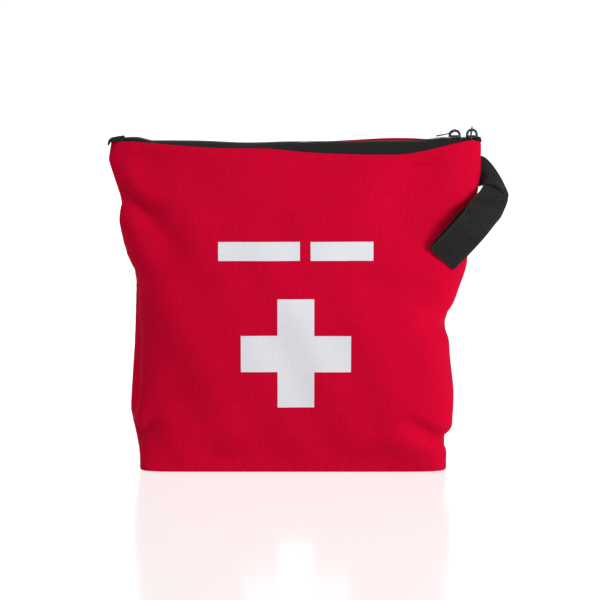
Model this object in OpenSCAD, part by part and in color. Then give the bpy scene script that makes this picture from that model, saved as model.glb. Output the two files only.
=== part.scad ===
// Soft first aid pouch with a two-slider zip, a webbing hanging loop and its contents.
// Units are millimetres. The origin is the centre of the base on the ground, +Z is up,
// +X is to the right seen from the front, and the front panel faces -Y.

/* [Pouch] */
// Width of the pouch along the zip, seam to seam
top_w = 285; // [275:1:300]
// Height of the front and back panels at the side seams
panel_h = 249; // [240:0.5:260]
// Depth of the boxed base, front to back
base_d = 59; // [57:1:66]
// Thickness of the coated woven cloth with its lining
cloth_t = 1.2; // [0.8:0.1:1.6]
// How far the front panel's top edge dips at its middle
front_dip = 8; // [0:0.5:9]
// How far the back panel's top edge dips at its middle
back_dip = 1.5; // [0:0.5:6]

/* [Zip] */
// Height of the middle of the zip chain above the panels' top corners
chain_rise = 2.5; // [2.5:0.1:5]
// Width of the closed coil chain
chain_w = 5.8; // [5.4:0.1:6.2]
// Height of the coil chain
chain_h = 2.2; // [1.8:0.1:2.2]
// Length of a slider body along the chain
slider_l = 9.5; // [8.5:0.1:10]
// Distance between the two parked sliders
slider_pitch = 13; // [12:0.1:14]
// Place of the right slider, from the middle of the pouch
slider_right_x = 136.2; // [134:0.1:136.2]
// Centre radius of the arch that holds a pull tab
arch_r = 3.6; // [3.4:0.1:3.8]
// Length of a pull tab past its eye
tab_l = 10; // [9.5:0.5:14]

/* [Hanging loop] */
// Width of the webbing
webbing_w = 25; // [20:1:26]
// Thickness of one layer of webbing
webbing_t = 1.3; // [1:0.1:1.5]
// Length of the folded loop from the side seam
loop_l = 99.5; // [90:0.5:105]
// Clear gap between the two layers at the widest place of the loop
loop_gap = 9; // [7:0.5:10]

/* [Print] */
// Width of one arm of the cross
cross_arm = 27.5; // [20:0.5:30]
// Height of the middle of the cross above the ground
cross_z = 92.5; // [80:0.5:100]
// Height of a label bar
bar_h = 14; // [8:1:18]

/* [Contents] */
// Opening angle drawn between the two scissor halves at rest
scissors_open = 0; // [0:1:5]
// Diameter of the crepe bandage roll
crepe_d = 46; // [36:1:46]
// Diameter of the large conforming bandage roll
bandage_d = 42; // [32:1:42]

/* [Hidden] */
$fn = 48;

RED = "#c8102e";
DARK_RED = "#a00c26";
BLACK = "#17181a";
WHITE = "#e6e8ea";
half_w = top_w / 2;
seam_gap = 0.2;

// Sections of the pouch from the base to the mouth. Each row holds the height as a share of
// panel_h, the left and right half widths as shares of half_w, the half depth as a share of
// half the base depth, and the two exponents that set how boxy the section is.
SECTIONS = [
    [0.00, 0.810, 0.820, 1.00, 12.0, 7.0],
    [0.20, 0.868, 0.856, 1.19, 7.0, 4.5],
    [0.45, 0.832, 0.819, 1.29, 5.0, 3.4],
    [0.62, 0.858, 0.915, 1.14, 4.4, 3.0],
    [0.75, 0.912, 0.955, 0.90, 4.0, 2.6],
    [0.87, 0.928, 0.995, 0.67, 3.8, 2.2],
    [1.00, 0.962, 1.000, 0.43, 4.0, 2.0]];
LAST = len(SECTIONS) - 1;
COLUMNS = 26;
ROWS = 20;

function row(i) = SECTIONS[min(max(i, 0), LAST)];
function spline(a, b, c, d, t) =
    0.5 * (2 * b + (c - a) * t + (2 * a - 5 * b + 4 * c - d) * t * t
           + (3 * b - a - 3 * c + d) * t * t * t);
function span_at(v) = max([for (i = [0:LAST - 1]) v >= SECTIONS[i][0] ? i : 0]);
function section(v) =
    let (i = span_at(v), t = (v - row(i)[0]) / (row(i + 1)[0] - row(i)[0]))
    spline(row(i - 1), row(i), row(i + 1), row(i + 2), t);

// How far a top edge has dipped at the share k of the half width; the lowest place is a
// little to the right of the middle.
function dipped(dip, k) = dip * (1 - k * k) * (1 + 0.45 * k);

// A point of the pouch's skin: u runs from the left seam at -1 to the right seam at 1,
// v from the ground at 0 to the mouth at 1, and inset is how far inside the outer face it is.
function skin(u, v, inset, dip) =
    let (s = section(v), k = sin(90 * u),
         half = (u < 0 ? s[1] : s[2]) * half_w - inset,
         depth = s[3] * base_d / 2 - inset)
    [half * k,
     depth * pow(max(1 - pow(abs(k), s[4]), 0), 1 / s[5]),
     v * panel_h - dipped(dip, k) * pow(v, 6)];

// Share of the half width that the place x takes in a section.
function share(s, x) = x / ((x < 0 ? s[1] : s[2]) * half_w);

// Depth of the front panel's outer face at a place given by x and z.
function front_depth(x, z) =
    let (s = section(z / panel_h))
    s[3] * base_d / 2 * pow(max(1 - pow(abs(share(s, x)), s[4]), 0), 1 / s[5]);

// Joins two equal grids of points, nu by nv cells, into one closed sheet of some thickness.
// The outer grid is listed first, row by row.
module sheet(outer, inner, nu, nv) {
    n = (nu + 1) * (nv + 1);
    function at(i, j) = j * (nu + 1) + i;
    function quad(a, b, c, d) = [[a, b, c], [a, c, d]];
    cells = [for (j = [0:nv - 1], i = [0:nu - 1])
        each concat(quad(at(i, j), at(i, j + 1), at(i + 1, j + 1), at(i + 1, j)),
                    quad(n + at(i, j), n + at(i + 1, j), n + at(i + 1, j + 1), n + at(i, j + 1)))];
    low_high = [for (i = [0:nu - 1])
        each concat(quad(at(i, 0), at(i + 1, 0), n + at(i + 1, 0), n + at(i, 0)),
                    quad(at(i, nv), n + at(i, nv), n + at(i + 1, nv), at(i + 1, nv)))];
    sides = [for (j = [0:nv - 1])
        each concat(quad(at(0, j), n + at(0, j), n + at(0, j + 1), at(0, j + 1)),
                    quad(at(nu, j), at(nu, j + 1), n + at(nu, j + 1), n + at(nu, j)))];
    polyhedron(points = concat(outer, inner), faces = concat(cells, low_high, sides));
}

// Front panels face -Y (side -1) and back panels face +Y (side 1).
first_v = 1.7 / panel_h;
function panel_grid(side, inset, dip) =
    [for (j = [0:ROWS], i = [0:COLUMNS])
        let (p = skin(-side * (2 * i / COLUMNS - 1), first_v + (1 - first_v) * j / ROWS, inset, dip))
        [p[0], side * (p[1] + seam_gap), p[2]]];

module panel(side, dip) {
    sheet(panel_grid(side, cloth_t, dip), panel_grid(side, 0, dip), COLUMNS, ROWS);
}

module front_panel() {
    color(RED) panel(-1, front_dip);
}

module back_panel() {
    color(RED) panel(1, back_dip);
}

// Outline of the base, drawn inset from the outer faces.
function base_outline(inset) =
    [for (side = [-1, 1], i = [0:COLUMNS - 1])
        let (p = skin(side * (1 - 2 * i / COLUMNS), 0, inset, 0))
        [p[0], side * p[1]]];

module base_panel() {
    color(DARK_RED) linear_extrude(1.5) polygon(base_outline(0));
}

// Black tape that binds the seam allowance inside each side seam.
module side_binding(side) {
    half_t = 0.8;
    near = 1.9;
    far = 8.5;
    function edge(v, inset) =
        let (s = section(v))
        side * ((side < 0 ? s[1] : s[2]) * half_w - inset);
    function line(inset, y) = [for (j = [0:ROWS]) let (v = 0.04 + 0.92 * j / ROWS)
        [edge(v, inset), y, v * panel_h]];
    function strip(y) = [for (j = [0:ROWS]) each [line(far, y)[j], line(near, y)[j]]];
    sheet(strip(side * half_t), strip(-side * half_t), 1, ROWS);
}

module side_binding_left() {
    color(BLACK) side_binding(-1);
}

module side_binding_right() {
    color(BLACK) side_binding(1);
}

module base_binding() {
    color(BLACK) translate([0, 0, 1.7]) linear_extrude(6) difference() {
        polygon(base_outline(1.8));
        polygon(base_outline(3.0));
    }
}

// Zip -----------------------------------------------------------------------------------
chain_z = panel_h + chain_rise;
coil_in = 0.8;
coil_out = chain_w / 2;
tape_t = 0.7;
tape_flat = 4.9;
chain_left = -127;
chain_right = 141.1;
slider_left_x = slider_right_x - slider_pitch;

// Half of the zip tape: flat beside the coil, then down to the panel's top edge.
module zip_tape(side, dip) {
    x0 = chain_left - 1.7;
    x1 = chain_right - 0.5;
    function edge(x) =
        [max(front_depth(x, panel_h) - 0.7, tape_flat - 0.1),
         panel_h - dipped(dip, share(section(1), x)) + 0.35];
    function line(i, lift) =
        let (x = x0 + (x1 - x0) * i / COLUMNS, e = edge(x))
        [[x, side * (e[0] + lift), e[1]],
         [x, side * (tape_flat + lift / 2), chain_z - tape_t / 2 + lift],
         [x, side * (coil_out + 0.05), chain_z - tape_t / 2 + lift]];
    function grid(lift) = [for (i = [0:COLUMNS]) each line(i, lift)];
    if (side < 0) sheet(grid(0), grid(tape_t), 2, COLUMNS);
    else sheet(grid(tape_t), grid(0), 2, COLUMNS);
}

module front_zip_tape() {
    color(BLACK) zip_tape(-1, front_dip);
}

module back_zip_tape() {
    color(BLACK) zip_tape(1, back_dip);
}

// One row of coil elements, drawn as the bar that the meshed elements fill.
module coil(side) {
    wide = coil_out - coil_in;
    translate([(chain_left + chain_right) / 2, side * (coil_in + wide / 2), chain_z])
        cube([chain_right - chain_left, wide, chain_h], center = true);
}

module front_coil() {
    color(BLACK) coil(-1);
}

module back_coil() {
    color(BLACK) coil(1);
}

// Metal stops that end the chain on both sides.
module zip_end_stops() {
    stop_l = 1.6;
    color("dimgray") for (x = [chain_left - 0.1 - stop_l, chain_right + 0.1])
        translate([x, -2.6, chain_z - 1.3]) cube([stop_l, 5.2, 2.6]);
}

// The folded ends of the tapes, past the stops.
module tape_end(x0, x1, high) {
    wide = 8.4;
    r = 1.2;
    translate([x0, 0, chain_z]) rotate([90, 0, 90]) linear_extrude(x1 - x0) union() {
        translate([-wide / 2, -1.4]) square([wide, 1.4 + high - r]);
        translate([-wide / 2 + r, -1.4]) square([wide - 2 * r, 1.4 + high]);
        for (y = [-1, 1]) translate([y * (wide / 2 - r), high - r]) circle(r, $fn = 24);
    }
}

module tape_end_left() {
    color(BLACK) tape_end(-136.5, chain_left - 2, 1.3);
}

module tape_end_right() {
    color(BLACK) tape_end(chain_right + 1.9, chain_right + 3.4, 1.3);
}

// Slider: two plates, a post that parts the coils, edge flanges with a slot for the tape,
// and a round arch that the pull tab's eye rides on.
plate_in = 1.3;
plate_out = 2.2;
slider_w = 8.4;
post_t = 1.2;
arch_tube = 0.7;
arch_lift = 1;
arch_z = chain_z + plate_out + arch_lift;

module slider(x) {
    flange_w = 0.8;
    tape_slot = 1.3;
    nose_r = 2;
    translate([x, 0, chain_z]) {
        for (z = [-plate_out, plate_in]) translate([0, 0, z])
            linear_extrude(plate_out - plate_in) union() {
                square([slider_l - 2 * nose_r, slider_w], center = true);
                square([slider_l, slider_w - 2 * nose_r], center = true);
                for (sx = [-1, 1], sy = [-1, 1])
                    translate([sx * (slider_l / 2 - nose_r), sy * (slider_w / 2 - nose_r)])
                        circle(nose_r, $fn = 24);
            }
        translate([-slider_l / 2 + 1, -post_t / 2, -plate_out + 0.1])
            cube([2.6, post_t, 2 * plate_out - 0.2]);
        for (sy = [-1, 1], sz = [-1, 1])
            translate([-slider_l / 2 + nose_r, sy * (slider_w / 2 - flange_w / 2) - flange_w / 2,
                       sz > 0 ? tape_slot / 2 : -plate_out + 0.1])
                cube([slider_l - 2 * nose_r, flange_w, plate_out - tape_slot / 2 - 0.1]);
        translate([0, 0, plate_out + arch_lift]) rotate([90, 0, 0])
            rotate_extrude(angle = 180) translate([arch_r, 0]) circle(arch_tube, $fn = 24);
        for (sx = [-1, 1]) translate([sx * arch_r, 0, plate_out - 0.3])
            cylinder(r = arch_tube, h = arch_lift + 0.3, $fn = 24);
    }
}

module slider_left() {
    color("#2a2b2e") slider(slider_left_x);
}

module slider_right() {
    color("#2a2b2e") slider(slider_right_x);
}

// Pull tab drawn with its eye at the origin and its blade along -X, flat in the XY plane.
module pull_tab() {
    tab_t = 0.9;
    eye_r = 1.45;
    rim_r = 2.6;
    neck_w = 2.6;
    grip_w = 4.4;
    translate([0, 0, -tab_t / 2]) linear_extrude(tab_t) difference() {
        union() {
            circle(rim_r);
            translate([-tab_l / 2, 0]) square([tab_l, neck_w], center = true);
            translate([-tab_l + 3.5, 0]) square([5.6, grip_w], center = true);
            translate([-tab_l + grip_w / 2 - 1, 0]) circle(grip_w / 2);
        }
        circle(eye_r);
    }
}

// The left tab lies along the chain, its eye a little above the arch's foot.
left_eye_angle = 10;
left_tab_droop = 11;
module pull_tab_left() {
    color("#34363a")
        translate([slider_left_x - arch_r * cos(left_eye_angle), 0,
                   arch_z + arch_r * sin(left_eye_angle)])
            rotate([0, -left_tab_droop, 0]) pull_tab();
}

// The right tab hangs over the back of the pouch from the top of the arch.
right_tab_fall = 24;
module pull_tab_right() {
    color("#34363a") translate([slider_right_x, 0, arch_z + arch_r])
        rotate([-right_tab_fall, 0, 0]) rotate([0, 0, -90]) rotate([90, 0, 0]) pull_tab();
}

// Hanging loop ---------------------------------------------------------------------------
// The webbing leaves the side seam flat, rolls forward over an inclined cylinder and hangs
// down to the left in front of the pouch. The roll keeps the webbing's true length: a point
// of the flat strip, s along and w across, is wrapped onto the cylinder.
roll_r = 6.8;
roll_angle = 109;
root_angle = -11;
roll_end = 166;
loop_root = [half_w + 2, 0, 226.5];
roll_start = 5.7;
LOOP_STEPS = 44;
LOOP_LANES = 6;

roll_f = [cos(roll_angle), 0, sin(roll_angle)];
roll_n = [sin(roll_angle), 0, -cos(roll_angle)];
skew = root_angle - (roll_angle - 90);

// A place on the strip, h outside the roll's own surface. The strip starts along the seam.
function rolled(along, w, h) =
    let (s = along + w * tan(root_angle) * max(1 - along / 20, 0),
         u = s * cos(skew) - w * sin(skew) - roll_start,
         v = s * sin(skew) + w * cos(skew),
         a_end = roll_end * PI / 180 * roll_r,
         turn = min(max(u, 0), a_end) / roll_r * 180 / PI,
         run = u < 0 ? u : max(u - a_end, 0),
         r = roll_r + h)
    loop_root + roll_f * v + [0, -roll_r, 0]
        + roll_n * (roll_start + r * sin(turn) + run * cos(turn))
        + [0, r * cos(turn) - run * sin(turn), 0];

// Distance of a layer's middle line from the loop's own middle, along the loop. part is the
// share of the gap that the layer takes.
gap_start = 38;
function bulge(s, part) =
    let (t = min(max((s - gap_start) / (loop_l - gap_start), 0), 1))
    webbing_t / 2 + 0.1 + part * loop_gap * pow(sin(180 * pow(t, 0.85)), 0.8);

module webbing_loop() {
    outer_part = 0.7;
    function lane(k) = webbing_w * (k / LOOP_LANES - 0.5);
    // The middle line of the webbing: out on the inner layer and back on the outer one.
    function path(i) =
        let (t = i / LOOP_STEPS)
        t <= 0.5 ? let (s = loop_l * (1 - pow(1 - 2 * t, 1.6))) [s, -bulge(s, 1 - outer_part)]
                 : let (s = loop_l * (1 - pow(2 * t - 1, 1.6))) [s, bulge(s, outer_part)];
    function side_step(i) =
        let (a = path(max(i - 1, 0)), b = path(min(i + 1, LOOP_STEPS)), d = b - a)
        [-d[1], d[0]] / norm(d);
    function layer(out) = [for (i = [0:LOOP_STEPS])
        let (p = path(i) + side_step(i) * out * webbing_t / 2)
        each [for (k = [0:LOOP_LANES]) rolled(p[0], lane(k), p[1])]];
    color(BLACK) sheet(layer(1), layer(-1), LOOP_LANES, LOOP_STEPS);
}

// Print ----------------------------------------------------------------------------------
print_gap = 0.08;
print_t = 0.3;

// Flat shapes printed on the front panel. mask says which cells of an nx by nz grid are inked.
module printed(x0, z0, size_x, size_z, nx, nz, mask) {
    function place(i, j, off) =
        let (x = x0 + size_x * i / nx, z = z0 + size_z * j / nz)
        [x, -front_depth(x, z) - seam_gap - off, z];
    function inked(i, j) = i >= 0 && j >= 0 && i < nx && j < nz && mask[j][i];
    n = (nx + 1) * (nz + 1);
    function at(i, j) = j * (nx + 1) + i;
    function quad(a, b, c, d) = [[a, b, c], [a, c, d]];
    points = [for (off = [print_gap + print_t, print_gap], j = [0:nz], i = [0:nx]) place(i, j, off)];
    faces = [for (j = [0:nz - 1], i = [0:nx - 1]) if (inked(i, j)) each concat(
        quad(at(i, j), at(i, j + 1), at(i + 1, j + 1), at(i + 1, j)),
        quad(n + at(i, j), n + at(i + 1, j), n + at(i + 1, j + 1), n + at(i, j + 1)),
        inked(i, j - 1) ? [] : quad(at(i, j), at(i + 1, j), n + at(i + 1, j), n + at(i, j)),
        inked(i, j + 1) ? [] : quad(at(i, j + 1), n + at(i, j + 1), n + at(i + 1, j + 1), at(i + 1, j + 1)),
        inked(i - 1, j) ? [] : quad(at(i, j), n + at(i, j), n + at(i, j + 1), at(i, j + 1)),
        inked(i + 1, j) ? [] : quad(at(i + 1, j), at(i + 1, j + 1), n + at(i + 1, j + 1), n + at(i + 1, j)))];
    polyhedron(points = points, faces = faces);
}

CROSS_CELLS = 4;
cross_x = 3;
module cross_print() {
    cells = 3 * CROSS_CELLS;
    size = 3 * cross_arm;
    function arm(i) = floor(i / CROSS_CELLS) == 1;
    color(WHITE) printed(cross_x - size / 2, cross_z - size / 2, size, size, cells, cells,
        [for (j = [0:cells - 1]) [for (i = [0:cells - 1]) arm(i) || arm(j)]]);
}

// Two plain bars where a label would be.
BARS = [[-55, 61], [14, 47]];
bar_z = 162;
module label_bars() {
    cells = 8;
    color(WHITE) for (bar = BARS)
        printed(bar[0], bar_z, bar[1], bar_h, cells, 2,
            [for (j = [0:1]) [for (i = [0:cells - 1]) true]]);
}

// Contents -------------------------------------------------------------------------------
floor_z = 1.7;

// A soft sealed pack with round corners, lying in the XZ plane. at is its low corner.
module pack(at, size, r) {
    translate(at) translate([0, size[1], 0]) rotate([90, 0, 0]) linear_extrude(size[1]) union() {
        translate([r, 0]) square([size[0] - 2 * r, size[2]]);
        translate([0, r]) square([size[0], size[2] - 2 * r]);
        for (x = [r, size[0] - r], z = [r, size[2] - r]) translate([x, z]) circle(r, $fn = 24);
    }
}

// A wound roll standing on end, with its narrow middle hole.
module roll(at, d, h, hole_d) {
    translate(at) difference() {
        cylinder(d = d, h = h, $fn = 64);
        translate([0, 0, -1]) cylinder(d = hole_d, h = h + 2, $fn = 24);
    }
}

module crepe_bandage() {
    color("#d9c3a0") roll([-82, -2, floor_z + 0.2], crepe_d, 75, 6);
}

module conforming_bandage_large() {
    color("#efece2") roll([-35, -2, floor_z + 0.2], bandage_d, 75, 5);
}

tape_d = 39;
module tape_roll() {
    color("#e9e2d2") translate([86.5, -2, floor_z + 0.2]) difference() {
        cylinder(d = tape_d, h = 25, $fn = 64);
        translate([0, 0, -1]) cylinder(d = 25, h = 27, $fn = 48);
    }
}

module tape_core() {
    color("#f4f4f2") translate([86.5, -2, floor_z + 0.2]) difference() {
        cylinder(d = 24.9, h = 25, $fn = 48);
        translate([0, 0, -1]) cylinder(d = 21.5, h = 27, $fn = 48);
    }
}

module conforming_bandage_small() {
    color("#f1efe6") roll([86.5, -2, 27.2], 37, 50, 5);
}

module foil_blanket() {
    color("#c3c8cc") pack([-8, -25, floor_z + 0.2], [70, 21, 84], 5);
}

// Box of plasters: an open tray, a cap that closes it, and the wrapped strips inside.
box_size = [70, 23, 50];
box_at = [-8, -2.5, floor_z + 0.2];
box_wall = 1.2;
lid_h = 10;
module open_box(size) {
    difference() {
        cube(size);
        translate([box_wall, box_wall, box_wall])
            cube([size[0] - 2 * box_wall, size[1] - 2 * box_wall, size[2]]);
    }
}

module plaster_box() {
    color("#dfe4e8") translate(box_at) open_box(box_size);
}

module plaster_box_lid() {
    color("#c9d3da") translate(box_at + [0, box_size[1], box_size[2] + lid_h + 0.1])
        rotate([180, 0, 0]) open_box([box_size[0], box_size[1], lid_h]);
}

module triangular_bandage() {
    color("#f3f1ea") translate([-104, -21, 77.2]) rotate([90, 0, 90])
        linear_extrude(92) union() {
            translate([4, 0]) square([34, 16]);
            translate([0, 4]) square([42, 8]);
            for (y = [4, 38], z = [4, 12]) translate([y, z]) circle(4, $fn = 24);
        }
}

module dressing_large() {
    color("#eef1f3") pack([-7, -21, 87], [72, 12, 80], 4);
}

module dressing_medium() {
    color("#e4ebf0") pack([-4, -8, 87], [64, 9, 72], 4);
}

module gloves_pack() {
    color("#5b86b8") pack([-6, 4, 63], [70, 11, 66], 5);
}

// Equal flat sachets standing side by side, each a solid of its own.
module sachets(at, size, count, gap) {
    for (k = [0:count - 1]) pack(at + [0, k * (size[1] + gap), 0], size, 2);
}

module adhesive_plasters() {
    color("#d8b48c") translate(box_at + [4, 0.9, box_wall + 0.2])
        sachets([0, box_wall, 0], [62, 1.5, 52], 10, 0.4);
}

module cleansing_wipes() {
    color("#dce9f2") sachets([-98, -20, 93.6], [58, 2.4, 58], 6, 0.4);
}

module burn_gel_sachets() {
    color("#9fc3c9") sachets([-96, -2.6, 93.6], [56, 4, 66], 3, 0.6);
}

module eye_pad() {
    color("#f6f5f0") pack([-92, 11.6, 93.6], [60, 7, 52], 8);
}

module face_shield_pack() {
    color("#d7dde0") pack([67, -15, 77.6], [38, 11, 52], 4);
}

card_x = 68;
card_z = 77.6;
module pin_card() {
    color("#eceae0") translate([card_x, 3, card_z]) cube([36, 0.6, 42]);
}

// Safety pins pinned side by side on their card: two wires, a coil eye and a cap each.
module safety_pins() {
    wire = 0.45;
    pin_l = 30;
    pin_w = 5.4;
    color("#b9bcc0") for (k = [0:3]) translate([card_x + 5 + k * 8.6, 2.4, card_z + 5]) {
        for (x = [0, pin_w]) translate([x, 0, 0]) cylinder(r = wire, h = pin_l, $fn = 16);
        translate([pin_w / 2, 0, 0]) rotate([90, 0, 0]) rotate([0, 0, 180])
            rotate_extrude(angle = 180) translate([pin_w / 2, 0]) circle(wire, $fn = 16);
        translate([-0.6, -0.5, pin_l]) cube([pin_w + 1.2, 1, 4]);
    }
}

module tweezers() {
    arm_t = 1;
    color("#b9bec3") translate([101, 23.6, 12]) rotate([90, 0, 90]) translate([0, 0, -3])
        linear_extrude(6) polygon([[0, 0], [arm_t, 0], [arm_t + 0.3, 78], [2.2 + arm_t, 78],
                                   [2.5 + arm_t, 0], [2.5 + 2 * arm_t, 0], [2.6 + 2 * arm_t, 84],
                                   [-0.1, 84]]);
}

// Bandage scissors, points down, opening in the XZ plane about the rivet.
pivot_x = 48;
pivot_z = 74;
pivot_r = 2;
blade_t = 1.7;
blade_y = 23.4;

// The fixed half drawn in its own plane, with the pivot at the origin and its ring at +X.
module scissor_half() {
    ring_r = 12.5;
    ring_in = 9;
    ring_x = 15.5;
    ring_z = 56;
    difference() {
        union() {
            polygon([[-5.5, -4], [-4.8, -30], [-1.5, -56], [0.6, -56], [2.2, -20], [4.5, 0],
                     [9.5, 30], [12, 47], [6.5, 48], [3.5, 28], [-4.5, 6]]);
            translate([ring_x, ring_z]) circle(ring_r, $fn = 48);
        }
        translate([ring_x, ring_z]) circle(ring_in, $fn = 48);
        circle(pivot_r + 0.06, $fn = 32);
    }
}

module scissor_place(y, turn) {
    translate([pivot_x, y + blade_t, pivot_z]) rotate([90, turn, 0])
        linear_extrude(blade_t) children();
}

module scissor_blade_fixed() {
    color("#aeb4ba") scissor_place(blade_y, 0) scissor_half();
}

module scissor_blade_moving() {
    color("#b8bec4") scissor_place(blade_y + blade_t + 0.2, -scissors_open)
        mirror([1, 0]) scissor_half();
}

module scissor_rivet() {
    head_r = 3.4;
    color("#8f959a") translate([pivot_x, blade_y + 2 * blade_t + 0.2, pivot_z]) rotate([90, 0, 0]) {
        cylinder(r = pivot_r, h = 2 * blade_t + 0.2, $fn = 32);
        translate([0, 0, -0.75]) cylinder(r = head_r, h = 0.65, $fn = 32);
        translate([0, 0, 2 * blade_t + 0.3]) cylinder(r = head_r, h = 0.6, $fn = 32);
        translate([0, 0, -0.2]) cylinder(r = pivot_r, h = 2 * blade_t + 0.6, $fn = 32);
    }
}

// Folded guidance leaflet, four leaves standing against the back.
module guidance_leaflet() {
    leaf_t = 0.35;
    color("#f7f7f4") for (k = [0:3])
        translate([-97 + k, 23.3 + k * 0.55, floor_z + 0.2]) cube([84 - 2 * k, leaf_t, 140]);
}

front_panel();
back_panel();
base_panel();
side_binding_left();
side_binding_right();
base_binding();
front_zip_tape();
back_zip_tape();
front_coil();
back_coil();
zip_end_stops();
tape_end_left();
tape_end_right();
slider_left();
slider_right();
pull_tab_left();
pull_tab_right();
webbing_loop();
cross_print();
label_bars();
crepe_bandage();
conforming_bandage_large();
conforming_bandage_small();
triangular_bandage();
dressing_large();
dressing_medium();
eye_pad();
foil_blanket();
plaster_box();
plaster_box_lid();
adhesive_plasters();
gloves_pack();
cleansing_wipes();
burn_gel_sachets();
tape_roll();
tape_core();
face_shield_pack();
safety_pins();
pin_card();
tweezers();
scissor_blade_fixed();
scissor_blade_moving();
scissor_rivet();
guidance_leaflet();
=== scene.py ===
import math
import bpy
import numpy as np
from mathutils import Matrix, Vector


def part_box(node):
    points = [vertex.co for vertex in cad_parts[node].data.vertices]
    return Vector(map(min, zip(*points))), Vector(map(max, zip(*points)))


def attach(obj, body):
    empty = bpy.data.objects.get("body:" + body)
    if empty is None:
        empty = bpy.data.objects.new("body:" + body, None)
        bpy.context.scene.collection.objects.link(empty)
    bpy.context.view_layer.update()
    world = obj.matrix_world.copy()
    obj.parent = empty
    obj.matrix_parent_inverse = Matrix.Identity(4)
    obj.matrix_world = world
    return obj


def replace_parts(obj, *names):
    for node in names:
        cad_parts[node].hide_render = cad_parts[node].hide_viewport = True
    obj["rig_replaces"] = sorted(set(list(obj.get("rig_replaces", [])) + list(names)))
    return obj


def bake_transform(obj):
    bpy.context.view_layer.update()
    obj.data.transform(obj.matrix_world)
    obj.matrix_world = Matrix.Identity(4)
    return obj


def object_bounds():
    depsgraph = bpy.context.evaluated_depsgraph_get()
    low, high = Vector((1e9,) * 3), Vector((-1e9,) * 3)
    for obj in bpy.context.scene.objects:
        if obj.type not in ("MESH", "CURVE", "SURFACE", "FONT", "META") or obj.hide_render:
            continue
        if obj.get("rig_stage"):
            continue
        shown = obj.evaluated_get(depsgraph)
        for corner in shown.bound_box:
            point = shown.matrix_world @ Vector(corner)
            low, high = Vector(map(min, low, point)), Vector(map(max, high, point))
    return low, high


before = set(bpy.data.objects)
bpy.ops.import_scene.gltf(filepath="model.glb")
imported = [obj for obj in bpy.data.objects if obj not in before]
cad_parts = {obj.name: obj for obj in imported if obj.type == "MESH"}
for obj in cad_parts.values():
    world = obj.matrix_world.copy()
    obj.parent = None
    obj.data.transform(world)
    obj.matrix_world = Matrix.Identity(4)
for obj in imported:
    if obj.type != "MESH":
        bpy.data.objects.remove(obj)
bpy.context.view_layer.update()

MM = 0.001
TAU = 2 * math.pi
UV_UNIT = 0.1

# ---------------------------------------------------------------- mesh helpers


def smooth01(t):
    t = np.clip(t, 0, 1)
    return t * t * (3 - 2 * t)


def bell(d):
    return np.exp(-d * d)


def piece(name, shape, mat, node=None, body="root", uv=None, sharp=50):
    """A smooth-shaded piece from points and faces in millimetres, declared to the frame. uv holds
    cloth coordinates in millimetres for its points, or for one of its two faces. With no body the
    piece is not attached to any body."""
    verts, faces = shape
    mesh = bpy.data.meshes.new(name)
    mesh.from_pydata((np.asarray(verts, float) * MM).tolist(), [], faces)
    mesh.validate()
    if uv is not None:
        flat = np.asarray(uv).reshape(-1, 2) * MM / UV_UNIT
        flat = np.tile(flat, (len(verts) // len(flat), 1)).astype(np.float32)
        layer = mesh.uv_layers.new(name="cloth")
        index = np.zeros(len(mesh.loops), np.int32)
        mesh.loops.foreach_get("vertex_index", index)
        layer.data.foreach_set("uv", flat[index].ravel())
    mesh.materials.append(mat)
    mesh.polygons.foreach_set("use_smooth", [True] * len(mesh.polygons))
    mesh.set_sharp_from_angle(angle=math.radians(sharp))
    obj = bpy.data.objects.new(name, mesh)
    bpy.context.scene.collection.objects.link(obj)
    if body:
        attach(obj, body)
    if node:
        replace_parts(obj, node)
    return obj


def walked(points, axis=0):
    """How far along its line each point lies. The lines run along axis."""
    start = np.take(points, [0], axis)
    return np.cumsum(np.linalg.norm(np.diff(points, axis=axis, prepend=start), axis=-1), axis)


def grid_normals(p):
    n = np.cross(np.gradient(p, axis=1), np.gradient(p, axis=0))
    return n / (np.linalg.norm(n, axis=2, keepdims=True) + 1e-9)


def grid_faces(ny, nx, first=0, flip=False):
    at = first + np.arange(ny * nx).reshape(ny, nx)
    quads = np.stack([at[:-1, :-1], at[:-1, 1:], at[1:, 1:], at[1:, :-1]], axis=-1)
    quads = quads.reshape(-1, 4)
    return quads[:, ::-1].tolist() if flip else quads.tolist()


def between(outer, inner, flip=False):
    """Points and faces of a closed piece between two facing grids. flip says that outer's normals
    point into the piece."""
    ny, nx = outer.shape[:2]
    verts = np.concatenate([outer.reshape(-1, 3), inner.reshape(-1, 3)])
    faces = grid_faces(ny, nx, 0, flip) + grid_faces(ny, nx, ny * nx, not flip)
    at = np.arange(ny * nx).reshape(ny, nx)
    for rim in (at[0, ::-1], at[-1], at[:, 0], at[::-1, -1]):
        a, b = rim[:-1], rim[1:]
        quads = np.stack([a, b, b + ny * nx, a + ny * nx], axis=-1)
        faces += (quads[:, ::-1] if flip else quads).tolist()
    return verts, faces


def shell(p, thick, flip=False):
    """Points and faces of a closed sheet. p is the outer grid; the inner face lies thick behind."""
    n = grid_normals(p) * (-1 if flip else 1)
    return between(p, p - n * np.asarray(thick), flip)


def ring_faces(count, sides, closed=False):
    """Faces between rings of points that follow each other, and over both ends unless closed."""
    faces = []
    for i in range(count if closed else count - 1):
        k = (i + 1) % count
        for s in range(sides):
            r = (s + 1) % sides
            faces.append([i * sides + s, i * sides + r, k * sides + r, k * sides + s])
    if not closed:
        faces.append(list(range(sides))[::-1])
        faces.append([(count - 1) * sides + s for s in range(sides)])
    return faces


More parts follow.
